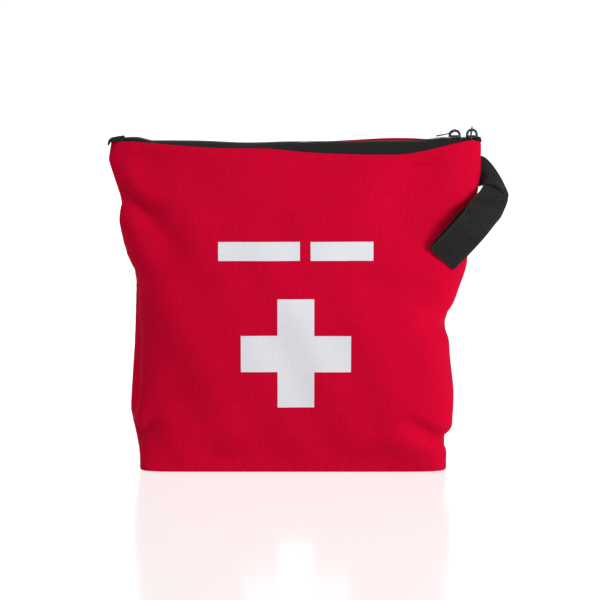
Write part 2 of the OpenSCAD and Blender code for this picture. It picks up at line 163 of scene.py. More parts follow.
def tube(points, radius, sides=8, closed=False, flat=(1.0, 1.0)):
    """Points and faces of a tube along a line. flat scales the section along its two directions."""
    pts = np.asarray(points, float)
    n = len(pts)
    if closed:
        t = np.roll(pts, -1, 0) - np.roll(pts, 1, 0)
    else:
        t = np.gradient(pts, axis=0)
    t /= np.linalg.norm(t, axis=1, keepdims=True)
    ref = np.array([0, 0, 1.0]) if abs(t[0][2]) < 0.9 else np.array([0, 1.0, 0])
    a = ref - t[0] * (ref @ t[0])
    rad = np.broadcast_to(radius, n)
    verts = []
    ang = np.arange(sides) * TAU / sides
    for i in range(n):
        a = a - t[i] * (a @ t[i])
        a /= np.linalg.norm(a)
        b = np.cross(t[i], a)
        verts.append(pts[i] + rad[i] * (np.outer(np.cos(ang) * flat[0], a)
                                        + np.outer(np.sin(ang) * flat[1], b)))
    return np.concatenate(verts), ring_faces(n, sides, closed)


def merge(parts):
    """Points and faces of several parts as one."""
    verts, faces, base = [], [], 0
    for v, f in parts:
        verts.append(v)
        faces += [[i + base for i in q] for q in f]
        base += len(v)
    return np.concatenate(verts), faces


def stitches(at, along, out, length, radius):
    """Sewn thread: a plump short bead at each place, lying along the seam."""
    parts = []
    for p, d, n in zip(at, along, out):
        t = np.linspace(-1, 1, 6)
        line = p + np.outer(t * length / 2, d) + np.outer(0.16 - 0.26 * t ** 2, n)
        parts.append(tube(line, radius * np.sqrt(1.04 - t ** 2 * 0.8), 6))
    return merge(parts)


# ---------------------------------------------------------------- materials


class Nodes:
    """Small helper that adds nodes and links them."""

    def __init__(self, name):
        self.mat = bpy.data.materials.new(name)
        self.mat.use_nodes = True
        self.tree = self.mat.node_tree
        self.shader = self.tree.nodes["Principled BSDF"]

    def add(self, kind, **props):
        node = self.tree.nodes.new(kind)
        for key, value in props.items():
            setattr(node, key, value)
        return node

    def link(self, out, into):
        self.tree.links.new(out, into)

    def feed(self, socket, value):
        """Links an output to the socket, or sets the socket's own value. None leaves it."""
        if isinstance(value, bpy.types.NodeSocket):
            self.link(value, socket)
        elif isinstance(value, (tuple, list)):
            socket.default_value = (*value, 1)
        elif value is not None:
            socket.default_value = value

    def math(self, op, a, b=None, c=None):
        node = self.add("ShaderNodeMath", operation=op)
        for i, x in enumerate((a, b, c)):
            self.feed(node.inputs[i], x)
        return node.outputs[0]

    def mix(self, factor, a, b):
        node = self.add("ShaderNodeMix", data_type="RGBA")
        for i, x in ((0, factor), (6, a), (7, b)):
            self.feed(node.inputs[i], x)
        return node.outputs[2]

    def coords(self, uv):
        node = self.add("ShaderNodeTexCoord")
        return node.outputs["UV" if uv else "Object"]

    def split(self, vector):
        node = self.add("ShaderNodeSeparateXYZ")
        self.link(vector, node.inputs[0])
        return node.outputs

    def scaled(self, vector, scale):
        node = self.add("ShaderNodeMapping")
        node.inputs["Scale"].default_value = scale if hasattr(scale, "__len__") else (scale,) * 3
        self.link(vector, node.inputs["Vector"])
        return node.outputs[0]

    def noise(self, vector, scale, detail=3.0, rough=0.5):
        node = self.add("ShaderNodeTexNoise")
        node.inputs["Scale"].default_value = scale
        node.inputs["Detail"].default_value = detail
        node.inputs["Roughness"].default_value = rough
        self.link(vector, node.inputs["Vector"])
        return node.outputs["Fac"]

    def ramp(self, value, low, high):
        node = self.add("ShaderNodeMapRange")
        node.inputs["From Min"].default_value = low
        node.inputs["From Max"].default_value = high
        self.link(value, node.inputs["Value"])
        return node.outputs[0]

    def bump(self, height, distance, strength=1.0, after=None):
        node = self.add("ShaderNodeBump")
        node.inputs["Distance"].default_value = distance
        node.inputs["Strength"].default_value = strength
        self.link(height, node.inputs["Height"])
        if after is not None:
            self.link(after, node.inputs["Normal"])
        return node.outputs[0]

    def finish(self, color=None, rough=None, normal=None, **sockets):
        for socket, x in (("Base Color", color), ("Roughness", rough), ("Normal", normal)):
            self.feed(self.shader.inputs[socket], x)
        for key, value in sockets.items():
            self.shader.inputs[key.replace("_", " ")].default_value = value
        return self.mat


def weave_height(g, vector, pitch, per_unit):
    """Plain weave: 0 in the gaps to 1 on the yarns. pitch is a yarn's width in metres."""
    k = math.pi / pitch * per_unit
    x, y = (g.math("MULTIPLY", part, k) for part in g.split(vector)[:2])
    over = g.math("MULTIPLY", g.math("SINE", x), g.math("SINE", y))
    over = g.math("MULTIPLY_ADD", over, 0.5, 0.5)
    warp = g.math("ABSOLUTE", g.math("SINE", x))
    weft = g.math("ABSOLUTE", g.math("SINE", y))
    both = g.math("MULTIPLY", warp, over)
    rest = g.math("MULTIPLY", weft, g.math("SUBTRACT", 1.0, over))
    return g.math("ADD", both, rest)


def woven(name, color, dark, pitch=0.00075, depth=0.00012, rough=0.8, specular=0.2, uv=True,
          vary=0.10, slub=0.22, strength=0.8):
    """Woven cloth with yarn relief, painted shade in the gaps between the yarns, slubs in both
    directions and slow random changes of tone.
    """
    g = Nodes(name)
    vector = g.coords(uv)
    unit = UV_UNIT if uv else 1.0
    height = weave_height(g, vector, pitch, unit)
    along = g.noise(g.scaled(vector, (0.16, 1, 1)), 1.0 / (pitch * 1.6) * unit, 2)
    across = g.noise(g.scaled(vector, (1, 0.16, 1)), 1.0 / (pitch * 1.6) * unit, 2)
    slubs = g.math("MULTIPLY", g.math("ADD", along, across), 0.5)
    broad = g.noise(vector, 45 * unit, 3)
    # Painted shade: the colour goes to dark in the gaps between the yarns.
    shade = g.ramp(height, 0.05, 0.75)
    tone = g.math("ADD", g.math("MULTIPLY", shade, 1 - slub), g.math("MULTIPLY", slubs, slub))
    tone = g.math("ADD", tone, g.math("MULTIPLY", g.math("SUBTRACT", broad, 0.5), vary * 2))
    base = g.mix(tone, dark, color)
    roughness = g.math("MULTIPLY_ADD", slubs, 0.12, rough - 0.06)
    relief = g.math("ADD", height, g.math("MULTIPLY", slubs, 0.5))
    normal = g.bump(relief, depth, strength)
    return g.finish(base, roughness, normal, Specular_IOR_Level=specular)


def ribbed(name, light, dark, pitch):
    """Webbing: ribs across it, with a painted highlight on their crests and painted shade between
    them, over a fine weave.
    """
    g = Nodes(name)
    vector = g.coords(True)
    turns = g.math("MULTIPLY", g.split(vector)[0], math.pi / pitch * UV_UNIT)
    ribs = g.math("ABSOLUTE", g.math("SINE", turns))
    yarn = weave_height(g, vector, pitch / 2, UV_UNIT)
    fluff = g.noise(g.scaled(vector, (0.2, 1, 1)), 1.2 / pitch * UV_UNIT, 2)
    # Painted highlight and shade: light on the ribs' crests, dark between them and in the weave's
    # gaps, varied at random by the fluff.
    tone = g.math("MULTIPLY", g.math("POWER", ribs, 2.0), g.math("MULTIPLY_ADD", yarn, 0.5, 0.5))
    tone = g.math("MULTIPLY", tone, g.math("MULTIPLY_ADD", fluff, 1.4, 0.2))
    relief = g.math("ADD", ribs, g.math("MULTIPLY", yarn, 0.35))
    return g.finish(g.mix(tone, dark, light), 0.55, g.bump(relief, 0.0004, 0.9),
                    Specular_IOR_Level=0.2)


def metal(name, color, worn, rough, amount, metallic):
    """Metal with fine scratches, uneven gloss and finish rubbed off on the edges."""
    g = Nodes(name)
    vector = g.coords(False)
    scratch = g.noise(g.scaled(vector, (1, 6, 1)), 900, 4, 0.7)
    grime = g.noise(vector, 260, 3)
    geometry = g.add("ShaderNodeNewGeometry")
    edge = g.ramp(geometry.outputs["Pointiness"], 0.53, 0.62)
    rub = g.math("MULTIPLY", edge, g.ramp(grime, 0.35, 0.6))
    rub = g.math("MULTIPLY", rub, amount)
    base = g.mix(rub, color, worn)
    roughness = g.math("MULTIPLY_ADD", scratch, 0.22, rough - 0.08)
    normal = g.bump(scratch, 0.00003, 0.6)
    return g.finish(base, roughness, normal, Metallic=metallic, Specular_IOR_Level=0.5)


def brushed(name, color):
    """Bare metal with fine brushed lines and faint blotches."""
    g = Nodes(name)
    vector = g.coords(False)
    lines = g.noise(g.scaled(vector, (1, 1, 0.05)), 2600, 3, 0.6)
    blotch = g.noise(vector, 120, 3)
    base = g.mix(g.ramp(blotch, 0.3, 0.8), color, tuple(c * 0.82 for c in color))
    roughness = g.math("MULTIPLY_ADD", lines, 0.25, 0.2)
    normal = g.bump(lines, 0.00003, 0.5)
    return g.finish(base, roughness, normal, Metallic=1.0)


def papery(name, color, dark, rough=0.75, fibre=900, depth=0.00005, specular=0.3, crease=0.0,
           metallic=0.0, coat=0.0):
    """Paper, card or film: fibre or grain relief, soft blotches and, if asked for, crumpling."""
    g = Nodes(name)
    vector = g.coords(False)
    grain = g.noise(vector, fibre, 4, 0.65)
    blotch = g.noise(vector, 60, 3)
    base = g.mix(g.ramp(g.math("ADD", grain, blotch), 0.6, 1.5), dark, color)
    normal = g.bump(grain, depth, 0.7)
    if crease:
        cells = g.add("ShaderNodeTexVoronoi", feature="F1")
        cells.inputs["Scale"].default_value = 110
        g.link(vector, cells.inputs["Vector"])
        normal = g.bump(cells.outputs["Distance"], crease, 0.8, normal)
    roughness = g.math("MULTIPLY_ADD", blotch, 0.16, rough - 0.08)
    return g.finish(base, roughness, normal, Specular_IOR_Level=specular, Metallic=metallic,
                    Coat_Weight=coat)


# In the woven cloths the dark colour is also the painted shade in the gaps between the yarns.
RED = woven("red_oxford", (0.74, 0.0010, 0.036), (0.30, 0.0002, 0.012), rough=0.86,
            specular=0.04, pitch=0.0009, depth=0.00022, slub=0.5, strength=0.9)
BASE_RED = woven("red_oxford_base", (0.64, 0.003, 0.030), (0.30, 0.0006, 0.012), rough=0.86,
                 specular=0.05, pitch=0.0009, depth=0.00022, slub=0.35)
TAPE = woven("zip_tape_weave", (0.014, 0.013, 0.013), (0.003, 0.003, 0.003), pitch=0.0006,
             depth=0.00015, rough=0.78, specular=0.12)
BINDING = woven("binding_weave", (0.022, 0.022, 0.024), (0.006, 0.006, 0.007), pitch=0.0006,
                depth=0.0001, rough=0.85, specular=0.25)
# The light colour is the painted highlight on the webbing's rib crests, the dark one the painted
# shade between them.
WEBBING = ribbed("webbing_ribs", (0.024, 0.022, 0.022), (0.0010, 0.0010, 0.0011), 0.0013)
THREAD_BLACK = woven("black_thread", (0.03, 0.03, 0.032), (0.008, 0.008, 0.009), pitch=0.0004,
                     depth=0.00008, uv=False, rough=0.6, specular=0.35)
PRINT = woven("white_print", (0.80, 0.81, 0.85), (0.56, 0.57, 0.61), rough=0.7, specular=0.12,
              pitch=0.0009, depth=0.00012, vary=0.05, slub=0.25, strength=0.7)
COIL = papery("nylon_coil", (0.012, 0.012, 0.013), (0.006, 0.006, 0.007), rough=0.45,
              specular=0.3, depth=0.00001)
BLACK_METAL = metal("black_slider", (0.02, 0.02, 0.022), (0.30, 0.29, 0.28), 0.34, 0.7, 0.6)
STOP_METAL = metal("stop_metal", (0.03, 0.03, 0.032), (0.35, 0.34, 0.33), 0.4, 0.8, 0.7)
STEEL = brushed("brushed_steel", (0.60, 0.61, 0.63))
CREPE = woven("crepe_weave", (0.78, 0.62, 0.42), (0.50, 0.36, 0.22), pitch=0.0011, depth=0.0003,
              rough=0.95, specular=0.1, vary=0.12, slub=0.4)
GAUZE = woven("gauze_weave", (0.86, 0.84, 0.78), (0.62, 0.60, 0.54), pitch=0.0009, depth=0.0002,
              rough=0.95, specular=0.1)
WRAP = papery("dressing_paper", (0.86, 0.88, 0.90), (0.72, 0.75, 0.78), 0.62, crease=0.0006)
FOIL = papery("crumpled_foil", (0.80, 0.81, 0.83), (0.62, 0.64, 0.66), 0.22, metallic=1.0,
              crease=0.0022)
CARD = papery("smooth_card", (0.80, 0.83, 0.85), (0.68, 0.72, 0.74), 0.55, fibre=700)
STRIP = papery("strip_paper", (0.86, 0.80, 0.72), (0.70, 0.62, 0.52), 0.6)
GLOVE = papery("glove_film", (0.16, 0.32, 0.62), (0.08, 0.18, 0.42), 0.34, specular=0.5,
               crease=0.001, coat=0.3)
SACHET = papery("sachet_film", (0.66, 0.78, 0.82), (0.46, 0.60, 0.66), 0.30, specular=0.5,
                crease=0.0005, coat=0.2)
MICRO = papery("microporous_tape", (0.86, 0.80, 0.68), (0.66, 0.58, 0.46), 0.85, fibre=1400)
PLASTIC = papery("white_plastic", (0.86, 0.86, 0.84), (0.76, 0.76, 0.74), 0.35, specular=0.5,
                 fibre=300, depth=0.00002)
FILM = papery("clear_film", (0.76, 0.82, 0.84), (0.60, 0.68, 0.72), 0.18, specular=0.5,
              crease=0.0012, coat=0.4)
PAPER = papery("leaflet_paper", (0.90, 0.90, 0.88), (0.78, 0.78, 0.76), 0.8)

# ---------------------------------------------------------------- pouch shape, in millimetres

HALF_W = 142.5
PANEL_H = 249.0
BASE_HALF_D = 29.5
CHAIN_Z = 251.5
SPLIT_X = 5.0
CLOTH_T = 0.6

# Height as a share of the panel's height, half depth as a share of the base's, and the two
# exponents of the section, as in the CAD model.
SECTIONS = np.array([
    [0.00, 1.00, 12.0, 7.0], [0.20, 1.19, 7.0, 4.5], [0.45, 1.29, 5.0, 3.4],
    [0.62, 1.14, 4.4, 3.0], [0.75, 0.90, 4.0, 2.6], [0.87, 0.67, 3.8, 2.2],
    [1.00, 0.43, 4.0, 2.0]])

# Half widths at heights: the side seams wander in and out where the cloth folds.
LEFT_SEAM = np.array([
    [0, 116.6], [18, 119.0], [44, 124.4], [60, 123.4], [100, 120.4], [143, 118.8], [152, 120.0],
    [162, 125.0], [176, 128.6], [206, 129.6], [223, 135.0], [237, 139.3], [249, 137.0]])
RIGHT_SEAM = np.array([
    [0, 118.2], [3, 118.4], [8, 117.0], [25, 117.8], [46, 121.6], [60, 121.6], [100, 118.0],
    [112, 116.8], [131, 123.2], [156, 130.6], [190, 137.2], [222, 143.2], [235, 143.9],
    [249, 143.2]])


def spline_rows(table, v):
    """Smooth curve through the rows of table, whose first column is the place."""
    v = np.atleast_1d(v)
    i = np.clip(np.searchsorted(table[:, 0], v, side="right") - 1, 0, len(table) - 2)
    a, b, c, d = (table[np.clip(i + k, 0, len(table) - 1)] for k in (-1, 0, 1, 2))
    t = ((v - b[:, 0]) / (c[:, 0] - b[:, 0]))[:, None]
    return 0.5 * (2 * b + (c - a) * t + (2 * a - 5 * b + 4 * c - d) * t ** 2
                  + (3 * b - a - 3 * c + d) * t ** 3)


def path_at(points, t):
    """Smooth curve through evenly numbered points, at shares t of the way."""
    table = np.concatenate([np.linspace(0, 1, len(points))[:, None], points], 1)
    return spline_rows(table, t)[:, 1:]


def half_width(table, z):
    """How far a side seam is from the middle at height z, its table's corners smoothed."""
    fine = np.arange(-12, PANEL_H + 13, 1.0)
    width = np.interp(fine, table[:, 0], table[:, 1])
    kernel = bell(np.arange(-6, 7) / 3.2)
    width = np.convolve(np.pad(width, 6, mode="edge"), kernel / kernel.sum(), "valid")
    return np.interp(z, fine, width)


# How far the front panel's top edge hangs below the seams' height at each x.
FRONT_EDGE = np.array([
    [-150, 1.8], [-138, 1.6], [-131, 0.4], [-115, 0.7], [-79, 3.6], [-54, 5.0], [-20, 5.2],
    [10, 8.0], [40, 9.4], [68, 9.9], [86, 9.4], [106, 5.8], [125, 1.2], [139, -0.7], [150, -0.6]])


def front_dip(x):
    fine = np.arange(-150, 150.5, 0.5)
    edge = np.convolve(np.pad(spline_rows(FRONT_EDGE, fine)[:, 1], 6, mode="edge"),
                       np.full(13, 1 / 13), "valid")
    return np.interp(x, fine, edge)


def back_dip(x):
    return 4.8 * bell((x + 38) / 52) + 0.2 - 1.7 * bell((x - 80) / 30)


def chain_sag(x):
    """How far the closed chain hangs below its ends, which are level where a slider parks."""
    ends = smooth01((x + 118) / 14) * smooth01((116 - x) / 22)
    return ends * (2.6 + 1.5 * bell((x + 34) / 26) + 0.7 * bell((x - 25) / 40))


# Folds of the front panel: start, end, width, depth (inwards below 0), and how far the cloth
# stands proud on the upper right side of the fold.
FRONT_FOLDS = [
    ((-132, 214), (-98, 184), 6.0, -5.8, 2.6),
    ((-108, 200), (-80, 150), 11.0, -3.6, 1.6),
    ((-125, 25), (-96, 44), 5.0, -5.0, -2.4),
    ((122, 20), (74, 46), 5.0, -6.0, 1.6),
    ((121, 112), (92, 119), 8.0, -3.0, 1.6),
    ((101, 244), (62, 150), 19.0, -4.2, 2.0),
    ((-112, 232), (-30, 212), 16.0, -2.4, 1.4),
    ((-60, 12), (70, 10), 9.0, -1.4, 0.6),
    ((-120, 148), (-24, 40), 24.0, 3.6, -1.4),
    ((118, 118), (14, 170), 17.0, -2.6, 2.2),
]
BACK_FOLDS = [
    ((-118, 212), (-84, 186), 6.0, -2.8, 1.4),
    ((122, 205), (92, 170), 7.0, -2.6, 1.2),
    ((-118, 40), (-92, 56), 5.5, -2.4, 1.2),
    ((116, 30), (94, 46), 5.5, -2.6, 1.4),
    ((-20, 244), (-34, 180), 18.0, -2.0, 1.0),
    ((60, 242), (46, 170), 16.0, -1.8, 0.9),
]
FRONT_LUMPS = [((80, 22), 19, 9, 4.8), ((40, 120), 60, 55, 1.6), ((-60, 70), 45, 50, 1.2),
               ((114, 170), 18, 15, -2.4), ((-48, 196), 78, 27, 2.8), ((62, 60), 46, 26, 2.2),
               ((-112, 95), 52, 70, -6.0), ((112, 60), 30, 70, 1.6)]
BACK_LUMPS = [((-50, 110), 50, 60, 1.4), ((60, 80), 45, 50, 1.6)]


def fold_relief(x, z, folds, lumps, seed):
    """How far folds, lumps and slow waves push the cloth outwards at each place."""
    out = np.zeros_like(x)
    for a, b, wide, depth, proud in folds:
        ax, az = a
        dx, dz = b[0] - ax, b[1] - az
        length = math.hypot(dx, dz)
        along = ((x - ax) * dx + (z - az) * dz) / length
        across = ((x - ax) * dz - (z - az) * dx) / length
        taper = smooth01(along / (0.3 * length) + 0.7)
        taper *= smooth01((length - along) / (0.6 * length))
        grow = 1 + 0.5 * np.clip(along / length, 0, 1)
        out += taper * (depth * bell(across / (wide * grow))
                        + proud * bell((across - 1.9 * wide) / (1.3 * wide * grow))
                        + 0.5 * abs(proud) * bell((across + 1.9 * wide) / (1.5 * wide * grow)))
    for (cx, cz), wx, wz, high in lumps:
        out += high * bell(np.hypot((x - cx) / wx, (z - cz) / wz))
    wave = np.random.default_rng(seed)
    for _ in range(9):
        period = wave.uniform(38, 95)
        turn = wave.uniform(0, math.pi)
        phase = wave.uniform(0, TAU)
        out += 0.26 * np.sin(TAU / period * (x * math.cos(turn) + z * math.sin(turn)) + phase)
    return out


# The side seams' turn, half the gap between the panels there, and the cloth left inside them.
SEAM_R, SEAM_GAP, ALLOWANCE = 0.8, 0.2, (2.0, 4.5)
HALF_COLS, MAIN_ROWS = 84, 112
# The hem's turn, and the height where the cloth turns in under the base.
HEM_R, FIRST_Z = 0.85, 1.0


def strap_swell(x, z):
    """Where the webbing's two layers push the seam apart."""
    return 1.25 * smooth01((z - 209) / 6) * smooth01((243 - z) / 6) * (x > 0)


def row_line(side, z):
    """The horizontal line of one panel at height z, from the left seam to the right one."""
    section = spline_rows(SECTIONS, np.clip(z / PANEL_H, 0, 1))[0]
    depth = section[1] * BASE_HALF_D
    p, q = section[2], section[3]
    halves = []
    for sign, table in ((-1, LEFT_SEAM), (1, RIGHT_SEAM)):
        half = float(half_width(table, z))
        gap = SEAM_GAP + SEAM_R + float(strap_swell(sign, z))
        deep = np.linspace(min(gap / depth, 0.95), 1, 160)
        k_side = (1 - deep ** q) ** (1 / p)
        k = np.unique(np.concatenate([k_side, np.linspace(0, k_side.max(), 200)]))
        y = depth * np.maximum(1 - k ** p, 0) ** (1 / q)
        halves.append((sign * k * half, side * np.maximum(y, gap)))
    x = np.concatenate([halves[0][0][::-1], halves[1][0][1:]])
    y = np.concatenate([halves[0][1][::-1], halves[1][1][1:]])
    s = walked(np.column_stack([x, y]))
    s_split = np.interp(SPLIT_X, x, s)
    even = np.linspace(0, 1, HALF_COLS)
    closer_at_seam = 0.4 * even ** 2 + 0.6 * even
    left = closer_at_seam * s_split
    right = s[-1] - closer_at_seam[::-1] * (s[-1] - s_split)
    want = np.concatenate([left, right[1:]])
    px, py, ps = np.interp(want, s, x), np.interp(want, s, y), want - s_split
    for sign, end in ((-1, 0), (1, -1)):
        cx, cy = px[end] - sign * SEAM_R, py[end]
        turn = np.radians([28, 58, 90])
        extra_x = np.r_[cx + sign * SEAM_R * np.cos(turn), cx - sign * np.array(ALLOWANCE)]
        extra_y = np.r_[cy - side * SEAM_R * np.sin(turn),
                        np.full(len(ALLOWANCE), cy - side * SEAM_R)]
        steps = walked(np.column_stack([np.r_[px[end], extra_x], np.r_[py[end], extra_y]]))[1:]
        extra_s = ps[end] + sign * steps
        pairs = ((extra_x, px), (extra_y, py), (extra_s, ps))
        px, py, ps = (np.r_[e[::-1], m] if sign < 0 else np.r_[m, e] for e, m in pairs)
    return px, py, ps


SIDE_EXTRA = 3 + len(ALLOWANCE)
SPLIT_COL = SIDE_EXTRA + HALF_COLS - 1


CURL_TURNS = np.radians([30, 60, 90])
HEM_TURNS = np.radians([24, 48, 72, 96, 120, 150, 180])
HEM_DOWN = (2.0, 5.0, 8.5)
UNDER_BASE = 2.2
# The rows that are the upright face, between the bottom curl and the hem.
MAIN = slice(len(CURL_TURNS) + 1, len(CURL_TURNS) + 1 + MAIN_ROWS)


def turned(line, out, radius, a):
    """An edge line moved inwards round a circle, upwards for a radius above 0."""
    return line - out * abs(radius) * (1 - math.cos(a)) + np.array([0, 0, radius * math.sin(a)])


def panel_surface(side, dip, folds, lumps, seed):
    """Outer face of a panel as a grid of points, and its cloth coordinates."""
    heights = np.linspace(FIRST_Z, PANEL_H, MAIN_ROWS)
    x, y, s = np.array([row_line(side, z) for z in heights]).transpose(1, 0, 2)
    z0 = np.repeat(heights[:, None], x.shape[1], 1)
    tx, ty = np.gradient(x, axis=1), np.gradient(y, axis=1)
    size = np.hypot(tx, ty) + 1e-9
    nx, ny = -side * ty / size, side * tx / size
    near_left = s - s[:, [SIDE_EXTRA]]
    near_right = s[:, [-1 - SIDE_EXTRA]] - s
    inside = smooth01(near_left / 9) * smooth01(near_right / 9)
    upright = smooth01(z0 / 9) * smooth01((PANEL_H + 4 - z0) / 16)
    relief = fold_relief(x, z0, folds, lumps, seed) * inside * upright
    at_seams = bell((near_left - 3) / 3.5) + bell((near_right - 3) / 3.5)
    at_seams = at_seams * (near_left > 0) * (near_right > 0)
    pucker = 0.22 * np.sin(TAU * z0 / 8.6 + 1.3 * np.sin(z0 / 23)) * at_seams
    pucker += 0.16 * np.sin(TAU * x / 9.4 + 2 * np.sin(x / 31)) * bell((z0 - 6) / 4.5) * inside
    pucker += 0.14 * np.sin(TAU * x / 11.2) * bell((PANEL_H - 3.5 - z0) / 3.5) * inside
    relief += pucker
    px, py = x + nx * relief, y + ny * relief
    pz = z0 - dip(x) * np.clip(z0 / PANEL_H, 0, 1) ** 6
    face = np.stack([px, py, pz], 2)
    out = np.stack([nx, ny, np.zeros_like(nx)], 2)
    # The bottom edge curls in under the base, and the top edge folds over into the hem.
    under = [turned(face[0], out[0], -FIRST_Z, a) for a in CURL_TURNS[::-1]]
    under.insert(0, under[0] - out[0] * UNDER_BASE)
    hem = [turned(face[-1], out[-1], HEM_R, a) for a in HEM_TURNS]
    hem += [face[-1] - out[-1] * 2 * HEM_R - np.array([0, 0, down]) for down in HEM_DOWN]
    grid = np.concatenate([under, face, hem])
    v_under = np.r_[-FIRST_Z * CURL_TURNS[-1] - UNDER_BASE, -FIRST_Z * CURL_TURNS[::-1]]
    v_hem = np.r_[HEM_R * HEM_TURNS, HEM_R * math.pi + np.array(HEM_DOWN)]
    v = np.concatenate([z0[:1] + v_under[:, None], z0, z0[-1:] + v_hem[:, None]])
    s_all = np.concatenate([np.repeat(s[:1], len(under), 0), s, np.repeat(s[-1:], len(hem), 0)])
    return grid, np.stack([s_all, v], 2)


def cloth_piece(name, grid, uv, flip, mat, node, body="root"):
    return piece(name, shell(grid, CLOTH_T, flip), mat, node, body, uv, 70)


front_grid, front_uv = panel_surface(-1, front_dip, FRONT_FOLDS, FRONT_LUMPS, 11)
back_grid, back_uv = panel_surface(1, back_dip, BACK_FOLDS, BACK_LUMPS, 23)

front = cloth_piece("front_cloth", front_grid, front_uv, False, RED, "front_panel")


def open_with_mouth(obj):
    """Bakes obj's placement into its points; it is not attached to any body."""
    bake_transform(obj)


for half, cols in (("left", slice(0, SPLIT_COL + 1)), ("right", slice(SPLIT_COL, None))):
    back = cloth_piece(f"back_cloth_{half}", back_grid[:, cols], back_uv[:, cols], True, RED,
                       "back_panel", None)
    open_with_mouth(back)

# The base: a flat cut of the same cloth, sewn to the panels' lower edges.
BASE_ROWS, BASE_Z = 22, 0.75


def base_surface():
    """Rows from the front panel's lower edge to the back panel's, a little inside both."""
    front_line, back_line = (g[MAIN.start, SIDE_EXTRA:-SIDE_EXTRA] for g in (front_grid, back_grid))
    t = np.linspace(0.045, 0.955, BASE_ROWS)[:, None, None]
    grid = front_line * (1 - t) + back_line * t
    middle = grid[:, :, 0].mean()
    grid[:, :, 0] = middle + (grid[:, :, 0] - middle) * 0.985
    grid[:, :, 2] = BASE_Z + 0.18 * np.sin(grid[:, :, 0] / 17) * np.sin(grid[:, :, 1] / 9)
    return grid


base_grid = base_surface()
base = cloth_piece("base_cloth", base_grid, base_grid[:, :, :2], False, BASE_RED, "base_panel")

# ---------------------------------------------------------------- zip

COIL_OUT, COIL_REACH, COIL_PITCH, COIL_POINTS = 2.95, -0.55, 1.5, 14
CHAIN_LEFT, CHAIN_RIGHT = -127.0, 141.1
TAPE_T, TAPE_ROWS, TAPE_DROP = 0.55, 26, 0.03
TAPE_FROM, TAPE_TO = -130.5, 138.4
# Where the flat tape beside the coil starts to fall, and the thread's height over the chain.
FALL_FROM = COIL_OUT + 1.15
THREAD_RISE = 0.94


def edge_line(grid, x):
    """Where a panel's top edge is at each x."""
    line = grid[MAIN.stop - 1][SIDE_EXTRA:-SIDE_EXTRA]
    return np.interp(x, line[:, 0], line[:, 1]), np.interp(x, line[:, 0], line[:, 2])


def tape_surface(side, grid, x_from, x_to):
    """Upper face of a zip tape, from inside the hem over its edge to the coil."""
    cols = max(int((x_to - x_from) / 2.0), 8)
    x = np.linspace(x_from, x_to, cols + 1)
    ey, ez = edge_line(grid, x)
    ey = np.abs(ey)
    room = ey - 2 * HEM_R - TAPE_T - FALL_FROM
    inner = np.maximum(room, 0) + FALL_FROM
    tuck = smooth01(room / 1.6 + 0.4)
    chain = CHAIN_Z - chain_sag(x) - TAPE_DROP
    top = np.minimum(ez + 0.4, chain - 0.5)
    ripple = 0.18 * np.sin(TAU * x / 12.5) + 0.12 * np.sin(TAU * x / 7.7 + 1)
    flat_y = np.minimum(COIL_OUT + 1.6, inner - 0.15)
    anchors = np.stack([
        np.stack([inner - 0.3 * tuck, top - 9.5 * tuck], 1),
        np.stack([inner, top - 4 * tuck + 0.3], 1), np.stack([inner + 0.1, top + 0.5], 1),
        np.stack([inner * 0.72 + flat_y * 0.28, top * 0.62 + chain * 0.38 + 0.2 + ripple], 1),
        np.stack([inner * 0.36 + flat_y * 0.64, top * 0.26 + chain * 0.74 + 0.35 + ripple], 1),
        np.stack([flat_y, chain + 0.05 * ripple], 1),
        np.stack([np.full_like(x, COIL_OUT - 0.35), chain], 1)])
    t = np.linspace(0, 1, TAPE_ROWS)
    yz = np.stack([path_at(anchors[:, k], t) for k in range(len(x))], 1)
    grid3 = np.stack([np.repeat(x[None], TAPE_ROWS, 0), side * yz[:, :, 0], yz[:, :, 1]], 2)
    return grid3, np.stack([grid3[:, :, 0], walked(grid3)], 2)


def make_tape(name, side, x_from, x_to, end, body):
    surface, uv = tape_surface(side, front_grid if side < 0 else back_grid, x_from, x_to)
    return piece(f"{name}_tape{end}", shell(surface, TAPE_T, side > 0), TAPE,
                 f"{name}_zip_tape", body, uv, 70)


def coil_piece(name, side, x_from, x_to, end, body):
    """One row of coil elements: a flattened spring whose heads reach past the middle line."""
    turns = (x_to - x_from) / COIL_PITCH
    t = np.linspace(0, turns * TAU, int(turns * COIL_POINTS) + 1)
    x = x_from + t / TAU * COIL_PITCH
    middle, half = (COIL_OUT + COIL_REACH) / 2, (COIL_OUT - COIL_REACH) / 2
    across = np.cos(t)
    y = middle + half * np.sign(across) * np.abs(across) ** 0.8
    z = 0.72 * np.sin(t)
    lean = 0.18 * np.cos(t)
    phase = 0 if side < 0 else COIL_PITCH / 2
    x = np.clip(x + lean + phase, CHAIN_LEFT + 0.4, CHAIN_RIGHT - 0.4)
    sag = chain_sag(x)
    head = 0.36 + 0.10 * smooth01((-across - 0.5) / 0.5)
    line = np.stack([x, side * y, CHAIN_Z - sag + z], 1)
    return piece(f"{name}_coil_teeth{end}", tube(line, head, 6), COIL,
                 f"{name}_coil", body)


def coil_thread(name, side, x_from, x_to, end, body):
    """The sewing line that holds the coil on its tape."""
    mid = np.arange(x_from + COIL_PITCH, x_to, COIL_PITCH)
    sag = chain_sag(mid)
    at = np.stack([mid, np.full_like(mid, side * 1.9), CHAIN_Z - sag + THREAD_RISE], 1)
    along = np.tile([0.94, 0.34, 0.0], (len(mid), 1))
    out = np.tile([0.0, 0.0, 1.0], (len(mid), 1))
    return piece(f"{name}_coil_thread{end}", stitches(at, along, out, 1.35, 0.16), THREAD_BLACK,
                 body=body)


